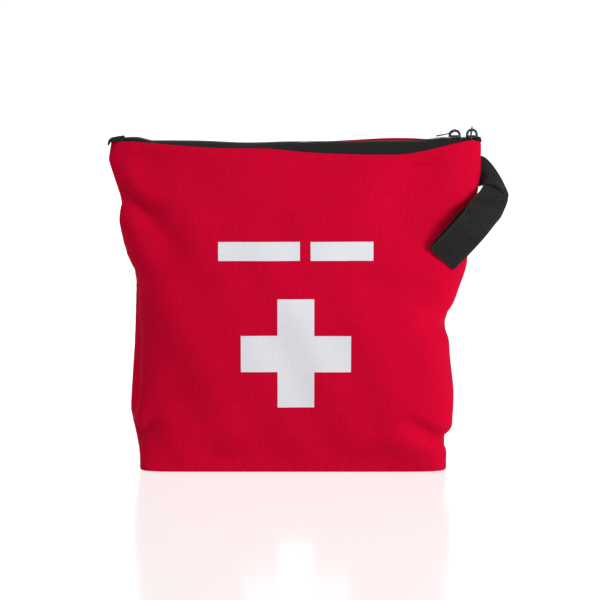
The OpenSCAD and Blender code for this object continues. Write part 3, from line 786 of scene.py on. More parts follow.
def zip_row(make, x_left, x_right):
    """One row of the zip on its front side, and in two halves on the side that opens."""
    make("front", -1, x_left, x_right, "", "root")
    for half, ends in (("left", (x_left, SPLIT_X)), ("right", (SPLIT_X, x_right))):
        open_with_mouth(make("back", 1, *ends, f"_{half}", None))


zip_row(make_tape, TAPE_FROM, TAPE_TO)
zip_row(coil_piece, CHAIN_LEFT + 0.5, CHAIN_RIGHT - 1)
zip_row(coil_thread, CHAIN_LEFT + 2, CHAIN_RIGHT - 2)

TONGUE_T = 1.1


def tape_tongue(name, x_out, x_in, low, high, wide, slope, node):
    """A zip tape's end, folded over and sewn down: a soft thick tongue. It is round at x_out and
    runs into the chain at x_in, where it stands slope higher. Its edges lie low under the chain."""
    cols, rows = 34, 24
    u = np.linspace(0, 1, cols)
    v = np.linspace(-1, 1, rows)
    x = x_out + (x_in - x_out) * u ** 1.3
    outer = np.clip(1 - (1 - u / 0.30).clip(0, 1) ** 2.4, 0, 1) ** 0.6
    rise = high * outer - slope * (1 - u) ** 1.2
    w = wide * (0.62 + 0.38 * outer)
    drop = np.abs(v) ** 3.0
    y = np.outer(v, w)
    z = CHAIN_Z - low + rise[None, :] * (1 - 0.80 * drop[:, None])
    z = z + 0.10 * np.sin(TAU * x / 1.3)[None, :] * (1 - drop[:, None])
    z += 0.12 * np.sin(TAU * y / 3.1)
    grid = np.stack([np.repeat(x[None], rows, 0), y, z], 2)
    skin = shell(grid, TONGUE_T, x_in > x_out)
    piece(name, skin, TAPE, node, uv=grid[:, :, :2], sharp=70)


tape_tongue("tape_tongue_left", -138.4, -126.8, 3.0, 4.1, 4.3, 2.3, "tape_end_left")
tape_tongue("tape_tongue_right", 142.4, 138.6, 2.2, 2.3, 4.0, 0.2, "tape_end_right")

# ---------------------------------------------------------------- sliders and pull tabs

SLIDER_X = {"left": 123.2, "right": 136.2}
SLIDER_L, SLIDER_W = 9.5, 8.4
PLATE_IN, PLATE_OUT = 1.3, 2.2
POST_X, RAIL_REACH = 2.9, 2.9
ARCH_R, ARCH_TUBE, ARCH_Z = 3.6, 0.78, CHAIN_Z + 2.2 + 1.0
ARCH_RISE = {"left": 0.74, "right": 0.92}


def outline_plate(outline, z0, z1, edge=0.28):
    """Points and faces of a plate with rounded rims, from a closed outline."""
    line = np.asarray(outline, float)
    centre = line.mean(0)
    rings = []
    for inset, z in ((edge, z0), (edge * 0.3, z0 + edge * 0.3), (0, z0 + edge), (0, z1 - edge),
                     (edge * 0.3, z1 - edge * 0.3), (edge, z1)):
        away = line - centre
        size = np.linalg.norm(away, axis=1, keepdims=True)
        ring = centre + away * (1 - inset / size)
        rings.append(np.column_stack([ring, np.full(len(line), z)]))
    return np.concatenate(rings), ring_faces(len(rings), len(line))


def superellipse(cx, cy, rx, ry, power, count=40):
    a = np.arange(count) * TAU / count
    c, s = np.cos(a), np.sin(a)
    return np.column_stack([cx + rx * np.sign(c) * np.abs(c) ** (2 / power),
                            cy + ry * np.sign(s) * np.abs(s) ** (2 / power)])


def slider_outline(open_end):
    """Shield shape: wide where the two coils part, narrower where the closed chain comes in."""
    line = superellipse(0, 0, SLIDER_L / 2, SLIDER_W / 2, 3.4, 48)
    toward = line[:, 0] * open_end / (SLIDER_L / 2)
    line[:, 1] *= 0.90 + 0.10 * smooth01((toward + 0.9) / 1.2)
    return line


def slider_piece(which, open_end):
    parts = []
    outline = slider_outline(open_end)
    for z0, z1 in ((-PLATE_OUT, -PLATE_IN), (PLATE_IN, PLATE_OUT)):
        parts.append(outline_plate(outline, z0, z1))
    post = superellipse(open_end * POST_X, 0, 1.4, 0.62, 2.4, 20)
    parts.append(outline_plate(post, -PLATE_OUT + 0.1, PLATE_OUT - 0.1, 0.05))
    t = np.linspace(-1, 1, 14)
    for sy in (-1, 1):
        inner = np.full_like(t, sy * (SLIDER_W / 2 - 0.75))
        outer = sy * (SLIDER_W / 2 - 0.06 - 0.12 * t ** 4)
        rail = np.column_stack([np.r_[t, -t] * RAIL_REACH, np.r_[inner, outer]])
        for z0, z1 in ((0.68, PLATE_OUT - 0.15), (-PLATE_OUT + 0.15, -0.68)):
            parts.append(outline_plate(rail if sy > 0 else rail[::-1], z0, z1, 0.1))
    a = np.linspace(0, math.pi, 26)
    arch = np.column_stack([ARCH_R * np.cos(a), np.zeros_like(a),
                            ARCH_Z - CHAIN_Z + ARCH_R * ARCH_RISE[which] * np.sin(a)])
    right_foot, left_foot = (np.array([[x, 0, z] for z in (PLATE_OUT - 0.3, PLATE_OUT + 0.5)])
                             for x in (ARCH_R, -ARCH_R))
    line = np.concatenate([right_foot, arch, left_foot[::-1]])
    swell = ARCH_TUBE * (1 + 0.16 * bell(np.linspace(-5.7, 5.7, len(line))))
    parts.append(tube(line, swell, 12, flat=(1.0, 1.3)))
    for sx in (-1, 1):
        parts.append(outline_plate(superellipse(sx * ARCH_R, 0, 1.15, 1.5, 2.2, 24),
                                   PLATE_OUT - 0.1, PLATE_OUT + 0.42, 0.2))
    rim = superellipse(0, 0, SLIDER_L / 2 - 1.0, SLIDER_W / 2 - 1.0, 3.0, 40)
    ring = np.column_stack([rim, np.full(len(rim), PLATE_OUT)])
    parts.append(tube(ring, 0.22, 6, closed=True))
    verts, faces = merge(parts)
    moved = (verts + np.array([SLIDER_X[which], 0, CHAIN_Z]), faces)
    piece(f"slider_body_{which}", moved, BLACK_METAL, f"slider_{which}",
          f"slider_{which}", sharp=40)


slider_piece("left", 1)
slider_piece("right", -1)


EYE_R, BLADE_FROM, BLADE_TO = 2.03, 2.2, 10.9
RIDGES, RIDGE_FROM, RIDGE_STEP = 5, 5.6, 1.05


def tab_parts():
    """A pull tab with its eye at the origin and its blade along -X, flat in the XY plane."""
    a = np.arange(32) * TAU / 32
    eye = np.column_stack([EYE_R * np.cos(a), EYE_R * np.sin(a), np.zeros(32)])
    parts = [tube(eye, 0.58, 10, closed=True, flat=(0.78, 1.0))]
    t = np.linspace(0, 1, 24)
    half = 1.05 + 1.15 * smooth01((t - 0.20) / 0.25)
    half *= np.sqrt(np.clip(1 - (np.clip(t - 0.82, 0, 1) / 0.185) ** 2, 0.02, 1))
    x = -BLADE_FROM - t * (BLADE_TO - BLADE_FROM)
    blade = np.concatenate([np.column_stack([x, half]), np.column_stack([x, -half])[::-1]])
    parts.append(outline_plate(blade[::-1], -0.44, 0.44, 0.22))
    for sz in (-1, 1):
        for k in range(RIDGES):
            place = -RIDGE_FROM - k * RIDGE_STEP
            ridge = np.array([[place, s * 1.35, sz * 0.42] for s in np.linspace(-1, 1, 7)])
            parts.append(tube(ridge, 0.16, 6))
    return merge(parts)


def rotated(verts, axis, degrees):
    c, s = math.cos(math.radians(degrees)), math.sin(math.radians(degrees))
    i, j = {"x": (1, 2), "y": (2, 0), "z": (0, 1)}[axis]
    out = verts.copy()
    out[:, i] = c * verts[:, i] - s * verts[:, j]
    out[:, j] = s * verts[:, i] + c * verts[:, j]
    return out


EYE_ANGLE, LEFT_DROOP, RIGHT_FALL = 10, 11, 24


def pull_tab(which):
    verts, faces = tab_parts()
    if which == "left":
        verts = rotated(verts, "y", -LEFT_DROOP)
        turn = math.radians(EYE_ANGLE)
        at = (SLIDER_X[which] - ARCH_R * math.cos(turn), 0, ARCH_Z + ARCH_R * math.sin(turn))
    else:
        verts = rotated(rotated(rotated(verts, "x", 90), "z", -90), "x", -RIGHT_FALL)
        at = (SLIDER_X[which], 0, ARCH_Z + ARCH_R)
    moved = (verts + np.array(at), faces)
    piece(f"tab_{which}", moved, BLACK_METAL, f"pull_tab_{which}", f"pull_{which}",
          sharp=40)


pull_tab("left")
pull_tab("right")

# ---------------------------------------------------------------- hanging loop

WEB_W, WEB_T, LOOP_L, LOOP_GAP, GAP_START = 25.0, 1.3, 99.5, 7.4, 38.0
ROLL_R, ROLL_ANGLE, ROOT_ANGLE, ROLL_END, ROLL_START = 6.8, 109, -11, 166, 5.7
LOOP_ROOT = np.array([HALF_W + 2, 0, 226.5])


def rolled(along, w, h):
    """A place on the webbing: it leaves the seam flat, rolls forward and hangs to the left."""
    a = math.radians(ROLL_ANGLE)
    f = np.array([math.cos(a), 0, math.sin(a)])
    n = np.array([math.sin(a), 0, -math.cos(a)])
    skew = math.radians(ROOT_ANGLE - (ROLL_ANGLE - 90))
    s = along + w * math.tan(math.radians(ROOT_ANGLE)) * np.maximum(1 - along / 20, 0)
    u = s * math.cos(skew) - w * math.sin(skew) - ROLL_START
    v = s * math.sin(skew) + w * math.cos(skew)
    end = math.radians(ROLL_END) * ROLL_R
    turn = np.clip(u, 0, end) / ROLL_R
    run = np.where(u < 0, u, np.maximum(u - end, 0))
    r = ROLL_R + h
    out = (ROLL_START + r * np.sin(turn) + run * np.cos(turn))[..., None] * n
    out = out + v[..., None] * f + LOOP_ROOT + np.array([0, -ROLL_R, 0])
    out[..., 1] += r * np.cos(turn) - run * np.sin(turn)
    return out


# The two long edges where the webbing turns down beside the seam, before it hangs straight.
OUTER_TURN = np.array([
    [140.5, 0, 239], [146.5, -1, 237], [153.8, -4.6, 229], [160, -9, 217.5], [162.9, -13.8, 207.5],
    [158, -17, 195.5], [151.7, -18.2, 188]])
INNER_TURN = np.array([
    [140.5, 0, 214.6], [144.6, -2, 216], [146, -6, 217.2], [143.7, -11, 214.7],
    [138.8, -15.6, 209.6], [132.7, -19.4, 203.7], [129.1, -20.9, 200.3]])
HANG_FROM = 64.0
HANG_SHIFT = 1.8
RIB_PITCH = 1.3
# The woven edge starts at this share of the half width and has its own closer rows.
SELVEDGE, SELVEDGE_PITCH = 0.90, 0.9


def strap_surface(lanes, count):
    """Middle surface between the loop's two layers, from inside the seam to the tip: rows run
    along the webbing and columns across it, outer edge last."""
    hang = np.linspace(HANG_FROM, LOOP_L, 12)
    fine = np.linspace(0, 1, 600)
    edges = []
    for w, turn in ((WEB_W / 2, INNER_TURN), (-WEB_W / 2, OUTER_TURN)):
        straight = rolled(hang, np.full_like(hang, w), np.zeros_like(hang))
        straight[:, 0] += HANG_SHIFT * (LOOP_L - hang) / (LOOP_L - HANG_FROM)
        edges.append(path_at(np.concatenate([turn, straight]), fine))
    # Both edges are walked by the same knots, spaced by the middle line's length.
    far = walked((edges[0] + edges[1]) / 2)
    s = np.linspace(0, far[-1], count)
    even = np.interp(s, far, fine)
    first, last = (np.stack([np.interp(even, fine, e[:, k]) for k in range(3)], 1)[:, None]
                   for e in edges)
    share = ((lanes + 1) / 2)[None, :, None]
    return first * (1 - share) + last * share, s


def webbing():
    """The loop's two layers, each with its outer and gap faces, and its cloth coordinates."""
    lanes = np.linspace(-1, 1, 37)
    grid, s = strap_surface(lanes, 430)
    total = s[-1]
    w = np.repeat(lanes[None], len(s), 0)
    along = np.repeat(s[:, None], len(lanes), 1)
    # The turn buckles: the upper part ends in an arc that stands proud of the part below it.
    share = (w + 1) / 2
    past = along - (14 + 11 * share + 5 * share ** 6)
    step = np.where(past < 0, 2.3 * np.exp(past / 7), -1.9 * np.exp(-past / 6))
    grid[:, :, 1] -= step * smooth01((1 - share) / 0.22) * smooth01(along / 8)
    n = grid_normals(grid)
    n = np.where((n[:, :, 1] > 0)[..., None], -n, n)
    body = smooth01((SELVEDGE - np.abs(w)) / 0.05)
    groove = 0.16 * bell((np.abs(w) - SELVEDGE) / 0.035)
    crown = -0.10 * np.abs(w) ** 8
    from_tip = total - s
    gap = np.clip(1 - (s - GAP_START) / (total - GAP_START), 0, 1)
    open_by = LOOP_GAP * np.sin(np.pi * gap ** 1.15) ** 0.8 * (s > GAP_START)
    pull = smooth01(from_tip / 1.6) ** 0.5
    layers = []
    for out, part in ((1, 0.7), (-1, 0.3)):
        run = along if out > 0 else 2 * total - along
        ribs = np.abs(np.sin(math.pi * run / RIB_PITCH)) ** 0.7
        edge_rows = 0.5 + 0.5 * np.cos(TAU * run / SELVEDGE_PITCH)
        relief = body * (ribs - 0.55) * 0.34 + (1 - body) * (edge_rows * 0.10 - 0.06)
        half = WEB_T / 2 - 0.1 + relief - groove + crown
        middle = ((WEB_T / 2 + 0.12 + part * open_by) * pull)[:, None]
        for off in (middle + half, middle - np.minimum(half, middle - 0.02)):
            layers.append(grid + n * (out * off)[..., None])
    outer, gap_outer, inner, gap_inner = layers
    return outer, gap_outer, gap_inner, inner, along, w, total


def strap_piece():
    """The loop as one piece, its placement baked into its points."""
    outer, gap_outer, gap_inner, inner, along, w, total = webbing()
    # One closed skin: out along the outer layer's outside, round the tip, back on the inside.
    outside = np.concatenate([outer, inner[::-1]])
    inside = np.concatenate([gap_outer, gap_inner[::-1]])
    run = np.concatenate([along, (2 * total - along)[::-1]])
    uv = np.stack([run, np.concatenate([w, w[::-1]]) * WEB_W / 2], 2)
    obj = piece("hanging_strap", between(outside, inside, True), WEBBING,
                "webbing_loop", None, uv, 60)
    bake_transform(obj)


strap_piece()

# ---------------------------------------------------------------- print


def surface_at(grid, uv, x, z):
    """Depth and cloth coordinates of the front face where it is seen at x and z."""
    cols = slice(SIDE_EXTRA + 2, -SIDE_EXTRA - 2)
    columns = np.concatenate([grid[MAIN], uv[MAIN]], 2)[:, cols].transpose(1, 0, 2)
    found = np.zeros(x.shape + (3,))
    for level in np.unique(np.round(z, 6)):
        at = np.abs(z - level) < 1e-5
        at_x, *values = ([np.interp(level, c[:, 2], c[:, k]) for c in columns] for k in (0, 1, 3, 4))
        for k, value in enumerate(values):
            found[at, k] = np.interp(x[at], at_x, value)
    return found[..., 0], found[..., 1:]


INK_T, INK_LIFT, INK_STEP = 0.14, 0.16, 1.6


def printed(name, boxes, node):
    """Ink lying on the cloth, one skin for each box given as x, z, width and height."""
    skins, uvs = [], []
    for x0, z0, w, h in boxes:
        nx, nz = max(int(w / INK_STEP), 3), max(int(h / INK_STEP), 3)
        xs, zs = np.meshgrid(np.linspace(x0, x0 + w, nx + 1), np.linspace(z0, z0 + h, nz + 1))
        y, uv = surface_at(front_grid, front_uv, xs, zs)
        skins.append(shell(np.stack([xs, y - INK_LIFT, zs], 2), INK_T))
        uvs += [uv.reshape(-1, 2)] * 2
    piece(name, merge(skins), PRINT, node, uv=np.concatenate(uvs), sharp=70)


ARM, CROSS_X, CROSS_Z = 27.5, 3.0, 92.5
printed("cross_ink", [(CROSS_X - ARM / 2, CROSS_Z - 1.5 * ARM, ARM, 3 * ARM),
                      (CROSS_X - 1.5 * ARM, CROSS_Z - ARM / 2, ARM, ARM),
                      (CROSS_X + 0.5 * ARM, CROSS_Z - ARM / 2, ARM, ARM)], "cross_print")
printed("label_bar_ink", [(-55, 162, 61, 14), (14, 162, 47, 14)], "label_bars")

# ---------------------------------------------------------------- bindings inside the pouch

BIND_T = 0.35
BASE_BIND_Z = 5.0


def bound(name, grid, node, flip):
    """A binding tape folded over raw edges. Columns or rows of grid are its folded section."""
    uv = np.stack([walked(grid, 1), walked(grid)], 2)
    obj = piece(name, shell(grid, BIND_T, flip), BINDING, node, uv=uv, sharp=70)


# Folded section of a side binding: how far inside the seam, and how far from the middle plane.
SIDE_FOLD = np.array([[2.4, -1.05], [4.0, -1.04], [5.8, -1.0], [7.2, -0.85], [8.0, -0.5], [8.3, 0],
                      [8.0, 0.5], [7.2, 0.85], [5.8, 1.0], [4.0, 1.04], [2.4, 1.05]])


def side_binding(which, sign, table):
    z = np.linspace(0.04, 0.96, 120) * PANEL_H
    half = half_width(table, z)
    push = strap_swell(np.full_like(z, sign), z)
    wave = 0.25 * np.sin(z / 5.3) + 0.2 * np.sin(z / 11.7)
    inset = SIDE_FOLD[None, :, 0] + wave[:, None] * (SIDE_FOLD[None, :, 0] > 7)
    x = sign * (half[:, None] - inset)
    y = SIDE_FOLD[None, :, 1] + np.sign(SIDE_FOLD[None, :, 1]) * push[:, None]
    grid = np.stack([x, y, np.repeat(z[:, None], len(SIDE_FOLD), 1)], 2)
    bound(f"side_binding_tape_{which}", grid, f"side_binding_{which}", sign > 0)


side_binding("left", -1, LEFT_SEAM)
side_binding("right", 1, RIGHT_SEAM)


# Folded section of the base binding: how far inside the pouch's outline, and the height.
BASE_FOLD = np.array([[1.75, 1.9], [1.75, 4.2], [1.78, 6.2], [1.95, 7.1], [2.4, 7.5], [2.85, 7.1],
                      [3.0, 6.2], [3.03, 4.2], [3.03, 1.9]])


def base_binding():
    before, behind = (np.column_stack(row_line(side, BASE_BIND_Z)[:2])[SIDE_EXTRA:-SIDE_EXTRA]
                      for side in (-1, 1))
    loop = np.concatenate([before, behind[::-1], before[:1]])
    step = walked(loop)
    even = np.linspace(0, step[-1], 420)
    loop = np.column_stack([np.interp(even, step, loop[:, k]) for k in (0, 1)])
    ahead = np.roll(loop[:-1], -2, 0) - np.roll(loop[:-1], 2, 0)
    ahead = np.concatenate([ahead, ahead[:1]])
    ahead /= np.linalg.norm(ahead, axis=1, keepdims=True)
    inward = np.column_stack([-ahead[:, 1], ahead[:, 0]])
    wave = 0.25 * np.sin(even / 7.1) + 0.2 * np.sin(even / 16.3)
    flat = loop[None] + inward[None] * BASE_FOLD[:, None, :1]
    z = BASE_FOLD[:, 1:] + wave[None] * smooth01((BASE_FOLD[:, 1:] - 4) / 3)
    grid = np.concatenate([flat, z[..., None]], 2)
    bound("base_binding_tape", grid, "base_binding", False)


base_binding()

# ---------------------------------------------------------------- rolled and folded bandages


# A roll's edges stay shy of its full height, so that the slipping turns keep inside it.
WIND_ROWS, WIND_POINTS, WIND_SHY = 9, 40, 0.9
FOLD_ROWS = 30


def wound(name, at, z0, high, d_out, d_in, pitch, mat, node, seed):
    """A bandage wound round itself: one long sheet on a spiral, its outer end lying loose."""
    thick = 0.8 * pitch
    start = d_in / 2 + thick
    turns = (d_out / 2 - start) / pitch
    a = np.linspace(0, turns * TAU, int(turns * WIND_POINTS))
    wave = np.random.default_rng(seed)
    phase = wave.uniform(0, TAU, 5)
    r = (start + pitch * a / TAU) * (1 + 0.010 * np.sin(2 * a + phase[0])
                                     + 0.006 * np.sin(3 * a + phase[1]))
    r += 0.7 * smooth01((a - a[-1] + 0.45) / 0.45)
    slip = 0.45 * np.sin(0.37 * a + phase[2]) + 0.3 * np.sin(1.13 * a + phase[3])
    v = np.linspace(0, 1, WIND_ROWS)[:, None]
    z = z0 + WIND_SHY + v * (high - 2 * WIND_SHY) + slip[None]
    swell = 0.25 * np.sin(math.pi * v) + 0.12 * np.sin(TAU * v * 3 + phase[4])
    around = r[None] + swell - 0.25
    grid = np.stack([at[0] + around * np.cos(a), at[1] + around * np.sin(a), z], 2)
    length = walked(grid[WIND_ROWS // 2, :, :2])
    uv = np.stack([np.repeat(length[None], WIND_ROWS, 0), z], 2)
    obj = piece(name, shell(grid, thick), mat, node, uv=uv, sharp=60)


wound("crepe_roll", (-82, -2), 1.9, 75, 46, 6, 1.0, CREPE, "crepe_bandage", 3)
wound("gauze_roll_large", (-35, -2), 1.9, 75, 42, 5, 0.9, GAUZE,
      "conforming_bandage_large", 4)
wound("gauze_roll_small", (86.5, -2), 27.2, 50, 37, 5, 0.9, GAUZE,
      "conforming_bandage_small", 5)


def to_and_fro(layers, pitch):
    """Line of a sheet folded to and fro. layers holds each layer's two ends, low one first."""
    points = []
    turn = np.linspace(-math.pi / 2, math.pi / 2, 7)
    for k, (low, high) in enumerate(layers):
        forward = k % 2 == 0
        run = np.linspace(low, high, 18) if forward else np.linspace(high, low, 18)
        points += [(p, k * pitch) for p in run]
        if k < len(layers) - 1:
            sign = 1 if forward else -1
            points += [(run[-1] + sign * pitch / 2 * math.cos(t),
                        (k + 0.5) * pitch + pitch / 2 * math.sin(t)) for t in turn[1:-1]]
    return np.array(points)


def folded(name, layers, pitch, thick, run, place, mat, node, seed):
    """A sheet folded to and fro, and its length. place puts its line and run into the pouch."""
    line = to_and_fro(layers, pitch)
    wave = np.random.default_rng(seed)
    length = walked(line)
    e = np.linspace(run[0], run[1], FOLD_ROWS)[:, None]
    a, b, c = wave.uniform(0, TAU, 3)
    soft = thick * 0.12 * (np.sin(e / 7 + a) + np.sin(line[None, :, 0] / 6 + b))
    ends = 0.4 * thick * np.sin(length / 23 + c)[None] * (2 * (e - run[0]) / (run[1] - run[0]) - 1)
    grid = place(np.repeat(line[None, :, 0], FOLD_ROWS, 0), line[None, :, 1] + soft, e + ends)
    uv = np.stack(np.broadcast_arrays(length[None], e), 2)
    obj = piece(name, shell(grid, thick), mat, node, uv=uv, sharp=60)
    return obj, float(length[-1])


TRI_LAYERS = [(-19.6, 19.2), (-19.0, 19.4), (-19.5, 19.0), (-18.8, 19.5), (-19.4, 18.9),
              (-18.9, 19.3), (-19.2, 18.7), (-18.5, 18.9)]
triangle, _ = folded("folded_triangle", TRI_LAYERS, 1.95, 1.5, (-103.2, -12.8),
                     lambda p, q, e: np.stack(np.broadcast_arrays(e, p, 78.9 + q), 2),
                     GAUZE, "triangular_bandage", 6)

LEAVES = [(-97 + k, -13 - k) for k in range(4)]
leaflet, leaf_run = folded("leaflet_sheet", LEAVES, 0.55, 0.22, (2.2, 141.6),
                           lambda p, q, e: np.stack(np.broadcast_arrays(p, 23.55 + q, e), 2),
                           PAPER, "guidance_leaflet", 7)

# ---------------------------------------------------------------- sealed packs


def tucks(x, z, size, count, deep, wave):
    """Short creases that run in from the welded rims."""
    out = np.zeros_like(x)
    wide, high = size[0] / 2, size[2] / 2
    for _ in range(count):
        side = wave.integers(4)
        place = wave.uniform(-0.85, 0.85)
        lean = wave.uniform(-0.7, 0.7)
        ax, az = [(place * wide, high), (place * wide, -high), (wide, place * high),
                  (-wide, place * high)][side]
        dx, dz = [(lean, -1), (lean, 1), (-1, lean), (1, lean)][side]
        norm = math.hypot(dx, dz)
        along = ((x - ax) * dx + (z - az) * dz) / norm
        across = ((x - ax) * dz - (z - az) * dx) / norm
        length = wave.uniform(0.35, 0.9) * min(wide, high)
        out += wave.uniform(0.4, 1.0) * bell(across / wave.uniform(1.2, 2.6)) * bell(
            (along - 0.5 * length) / (0.5 * length))
    return out * deep


FILM_T = 0.22


def sealed_pack(low, size, seal, deep, seed, fine=1.6, edge=8.0):
    """Two films welded round their rims over a filling, and each film's cloth coordinates."""
    wave = np.random.default_rng(seed)
    nx, nz = int(size[0] / fine), int(size[2] / fine)
    u, v = np.meshgrid(np.linspace(-1, 1, nx), np.linspace(-1, 1, nz))
    x = u * size[0] / 2 * (1 - 0.012 * np.abs(v) ** 12)
    z = v * size[2] / 2 * (1 - 0.012 * np.abs(u) ** 12)
    full = np.ones_like(u)
    for share, length in ((u, size[0]), (v, size[2])):
        inside = ((1 - np.abs(share)) * length / 2 - seal) / edge
        full = full * np.sqrt(1 - (1 - np.clip(inside, 0, 1)) ** 2)
    rim = FILM_T
    middle = (1 - full) * 0.30 * size[1] * np.sin(x / 17 + seed) * np.sin(z / 15 + 2 * seed)
    faces_y = []
    for sign in (-1, 1):
        half = rim + (size[1] / 2 - rim) * full
        half = half - tucks(x, z, size, 16, deep, wave) * (0.25 + 0.75 * full) * (half > 2 * rim)
        faces_y.append(middle * 0.4 + sign * np.maximum(half, rim))
    centre = np.array(low) + np.array(size) / 2
    film = between(*(np.stack([x, y, z], 2) + centre for y in faces_y))
    return film, [np.stack([x, z], 2).reshape(-1, 2)] * 2


def packs(name, lows, size, seal, deep, mat, node, seed, fine=1.6, edge=8.0):
    """One object of equal packs standing side by side."""
    films, uvs = zip(*(sealed_pack(low, size, seal, deep, seed + k, fine, edge)
                       for k, low in enumerate(lows)))
    return piece(name, merge(films), mat, node, uv=np.concatenate(sum(uvs, [])),
                 sharp=60)


SIM_FRAMES = 20
SIM_REACH = 2.2
HELD_RIM = 3.5
PUFF = {"vertex_group_mass": "held", "quality": 6, "mass": 0.15, "tension_stiffness": 12,
        "compression_stiffness": 12, "shear_stiffness": 4, "bending_stiffness": 0.3,
        "use_pressure": True, "shrink_min": -0.04}


def plump(obj, pressure):
    """Cloth simulation: air pressure rounds the pack and the cloth gathers round its held rim."""
    held = obj.vertex_groups.new(name="held")
    low, high = (np.array(c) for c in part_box(obj["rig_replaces"][0]))
    rest = np.array([v.co for v in obj.data.vertices])
    near = np.minimum(rest - low, high - rest)[:, [0, 2]].min(1)
    held.add(np.flatnonzero(near < HELD_RIM * MM).tolist(), 1.0, "REPLACE")
    cloth = obj.modifiers.new("puff", "CLOTH")
    cloth.settings.uniform_pressure_force = pressure
    cloth.settings.effector_weights.gravity = 0
    for key, value in PUFF.items():
        setattr(cloth.settings, key, value)
    cloth.point_cache.frame_start = 1
    cloth.point_cache.frame_end = SIM_FRAMES
    scene = bpy.context.scene
    for f in range(1, SIM_FRAMES + 1):
        scene.frame_set(f)
    graph = bpy.context.evaluated_depsgraph_get()
    moved = np.array([v.co for v in obj.evaluated_get(graph).data.vertices]) - rest
    reach = np.linalg.norm(moved, axis=1, keepdims=True)
    moved *= np.minimum(1, SIM_REACH * MM / (reach + 1e-9))
    obj.modifiers.remove(cloth)
    obj.vertex_groups.remove(held)
    obj.data.vertices.foreach_set("co", (rest + moved).astype(np.float32).ravel())
    obj.data.update()
    scene.frame_set(1)
    finer = obj.modifiers.new("finer", "SUBSURF")
    finer.levels = finer.render_levels = 1


for name, low, size, node, seed in (
        ("large_dressing_wrap", (-7, -21, 87), (72, 12, 80), "dressing_large", 19),
        ("medium_dressing_wrap", (-4, -8, 87), (64, 9, 72), "dressing_medium", 20),
        ("eye_pad_wrap", (-92, 11.6, 93.6), (60, 7, 52), "eye_pad", 12)):
    wrap = packs(name, [low], size, 3.0, 0.35, WRAP, node, seed, 2.4, 9.0)
    plump(wrap, 4.0)

packs("foil_blanket_pack", [(-8, -25, 1.9)], (70, 21, 84), 3.0, 1.1, FOIL,
                "foil_blanket", 31, edge=11.0)
packs("gloves_pouch", [(-6, 4, 63)], (70, 11, 66), 4.0, 0.9, GLOVE,
                "gloves_pack", 41)
packs("face_shield_pouch", [(67, -15, 77.6)], (38, 11, 52), 3.0, 0.8, FILM,
                "face_shield_pack", 51)
packs("wipe_sachets", [(-98, -20 + 2.8 * k, 93.6) for k in range(6)], (58, 2.4, 58), 5.0, 0.3,
      SACHET, "cleansing_wipes", 61, 2.0, 9.0)
packs("gel_sachets", [(-96, -2.6 + 4.6 * k, 93.6) for k in range(3)], (56, 4, 66), 5.0, 0.45,
      SACHET, "burn_gel_sachets", 71, 2.0, 9.0)
packs("plaster_sleeves", [(-4, -0.4 + 1.9 * k, 3.3) for k in range(10)], (62, 1.5, 52), 3.0,
      0.12, STRIP, "adhesive_plasters", 81, 3.0, 9.0)

# ---------------------------------------------------------------- CAD pieces shown as they are


def dress(node, mat, bevel):
    """A CAD piece's finish, with its sharp edges broken by a small bevel."""
    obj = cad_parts[node]
    obj.data.materials.clear()
    obj.data.materials.append(mat)
    weld = obj.modifiers.new("weld", "WELD")
    weld.merge_threshold = 0.000001
    soft = obj.modifiers.new("soft_edges", "BEVEL")
    soft.width = bevel * MM
    soft.segments = 2
    soft.limit_method = "ANGLE"
    soft.angle_limit = math.radians(38)


dress("zip_end_stops", STOP_METAL, 0.2)
dress("plaster_box", CARD, 0.3)
dress("plaster_box_lid", CARD, 0.3)
dress("pin_card", CARD, 0.15)
dress("tape_roll", MICRO, 0.25)
dress("tape_core", PLASTIC, 0.2)
for part in ("safety_pins", "scissor_rivet", "scissor_blade_fixed", "scissor_blade_moving",
             "tweezers"):
    dress(part, STEEL, 0.12)

# ---------------------------------------------------------------- camera, floor and light

TARGET = Vector((0.0061, 0, 0.1279))
ELEVATION, DISTANCE = math.radians(8), 1.5
FLOOR_SIDE, FLOOR_Z = 6.0, -0.0006


def placed(name, data, at, aim=None):
    """An object at a place in metres, a camera or light looking at aim."""
    obj = bpy.data.objects.new(name, data)
    bpy.context.scene.collection.objects.link(obj)
    obj.location = at
    if aim is not None:
        obj.rotation_mode = "QUATERNION"
        obj.rotation_quaternion = (Vector(aim) - Vector(at)).to_track_quat("-Z", "Y")
    return obj


def softbox(name, at, aim, size, power):
    data = bpy.data.lights.new(name, "AREA")
    data.shape = "RECTANGLE"
    data.size, data.size_y = size
    data.energy = power
    placed(name, data, at, aim)


camera_data = bpy.data.cameras.new("camera")
camera_data.lens = 117.5
camera_data.sensor_width = 36
towards = Vector((0, -math.cos(ELEVATION), math.sin(ELEVATION)))
bpy.context.scene.camera = placed("camera", camera_data, TARGET + towards * DISTANCE, TARGET)

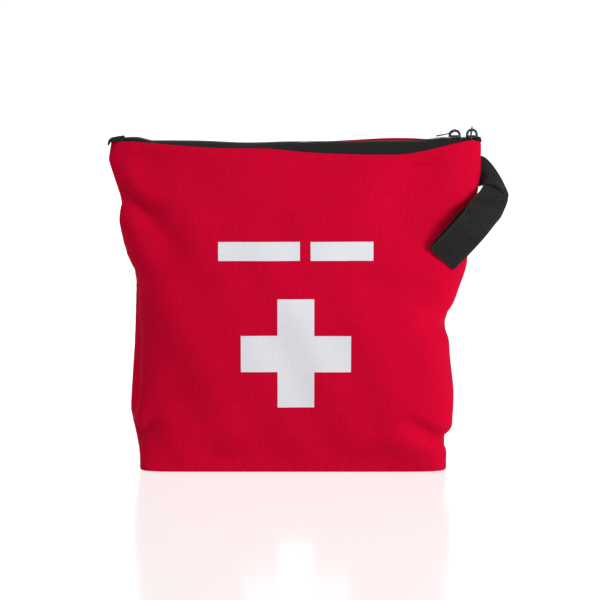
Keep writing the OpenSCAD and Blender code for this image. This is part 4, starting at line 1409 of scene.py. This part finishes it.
floor_mesh = bpy.data.meshes.new("floor")
corners = ((-1, -1), (1, -1), (1, 1), (-1, 1))
floor_mesh.from_pydata([(FLOOR_SIDE * x, FLOOR_SIDE * y, 0) for x, y in corners], [],
                       [(0, 1, 2, 3)])
floor_look = Nodes("pale_floor")
floor_look.finish((0.35, 0.35, 0.35), 0.16, None, Specular_IOR_Level=0.42,
                  Emission_Color=(1, 1, 1, 1))
# The floor glows for the camera, and less for the light it throws up on the cloth.
floor_rays = floor_look.add("ShaderNodeLightPath")
floor_glow = floor_look.add("ShaderNodeMapRange")
floor_look.link(floor_rays.outputs["Is Diffuse Ray"], floor_glow.inputs["Value"])
floor_glow.inputs["To Min"].default_value = 0.66
floor_glow.inputs["To Max"].default_value = 0.42
floor_look.link(floor_glow.outputs[0], floor_look.shader.inputs["Emission Strength"])
floor_mesh.materials.append(floor_look.mat)
placed("floor", floor_mesh, (0, 0, FLOOR_Z))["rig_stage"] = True

softbox("key", (0.98, -0.66, 0.34), (0, 0, 0.10), (0.35, 0.35), 9.8)
softbox("top", (-0.6, -0.7, 2.2), (0, 0, 0.1), (1.2, 0.8), 22)

world = bpy.data.worlds.new("studio")
bpy.context.scene.world = world
world.use_nodes = True
tree = world.node_tree
sky = tree.nodes["Background"]
sky.inputs["Color"].default_value = (1, 1, 1, 1)
sky.inputs["Strength"].default_value = 0.20
bright = tree.nodes.new("ShaderNodeBackground")
bright.inputs["Color"].default_value = (1, 1, 1, 1)
bright.inputs["Strength"].default_value = 1.05
path = tree.nodes.new("ShaderNodeLightPath")
either = tree.nodes.new("ShaderNodeMixShader")
seen = tree.nodes.new("ShaderNodeMath")
seen.operation = "MAXIMUM"
tree.links.new(path.outputs["Is Camera Ray"], seen.inputs[0])
tree.links.new(path.outputs["Is Glossy Ray"], seen.inputs[1])
tree.links.new(seen.outputs[0], either.inputs[0])
tree.links.new(sky.outputs[0], either.inputs[1])
tree.links.new(bright.outputs[0], either.inputs[2])
tree.links.new(either.outputs[0], tree.nodes["World Output"].inputs["Surface"])
bpy.context.scene.view_settings.view_transform = "Standard"
bpy.context.scene.view_settings.look = "None"

low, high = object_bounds()
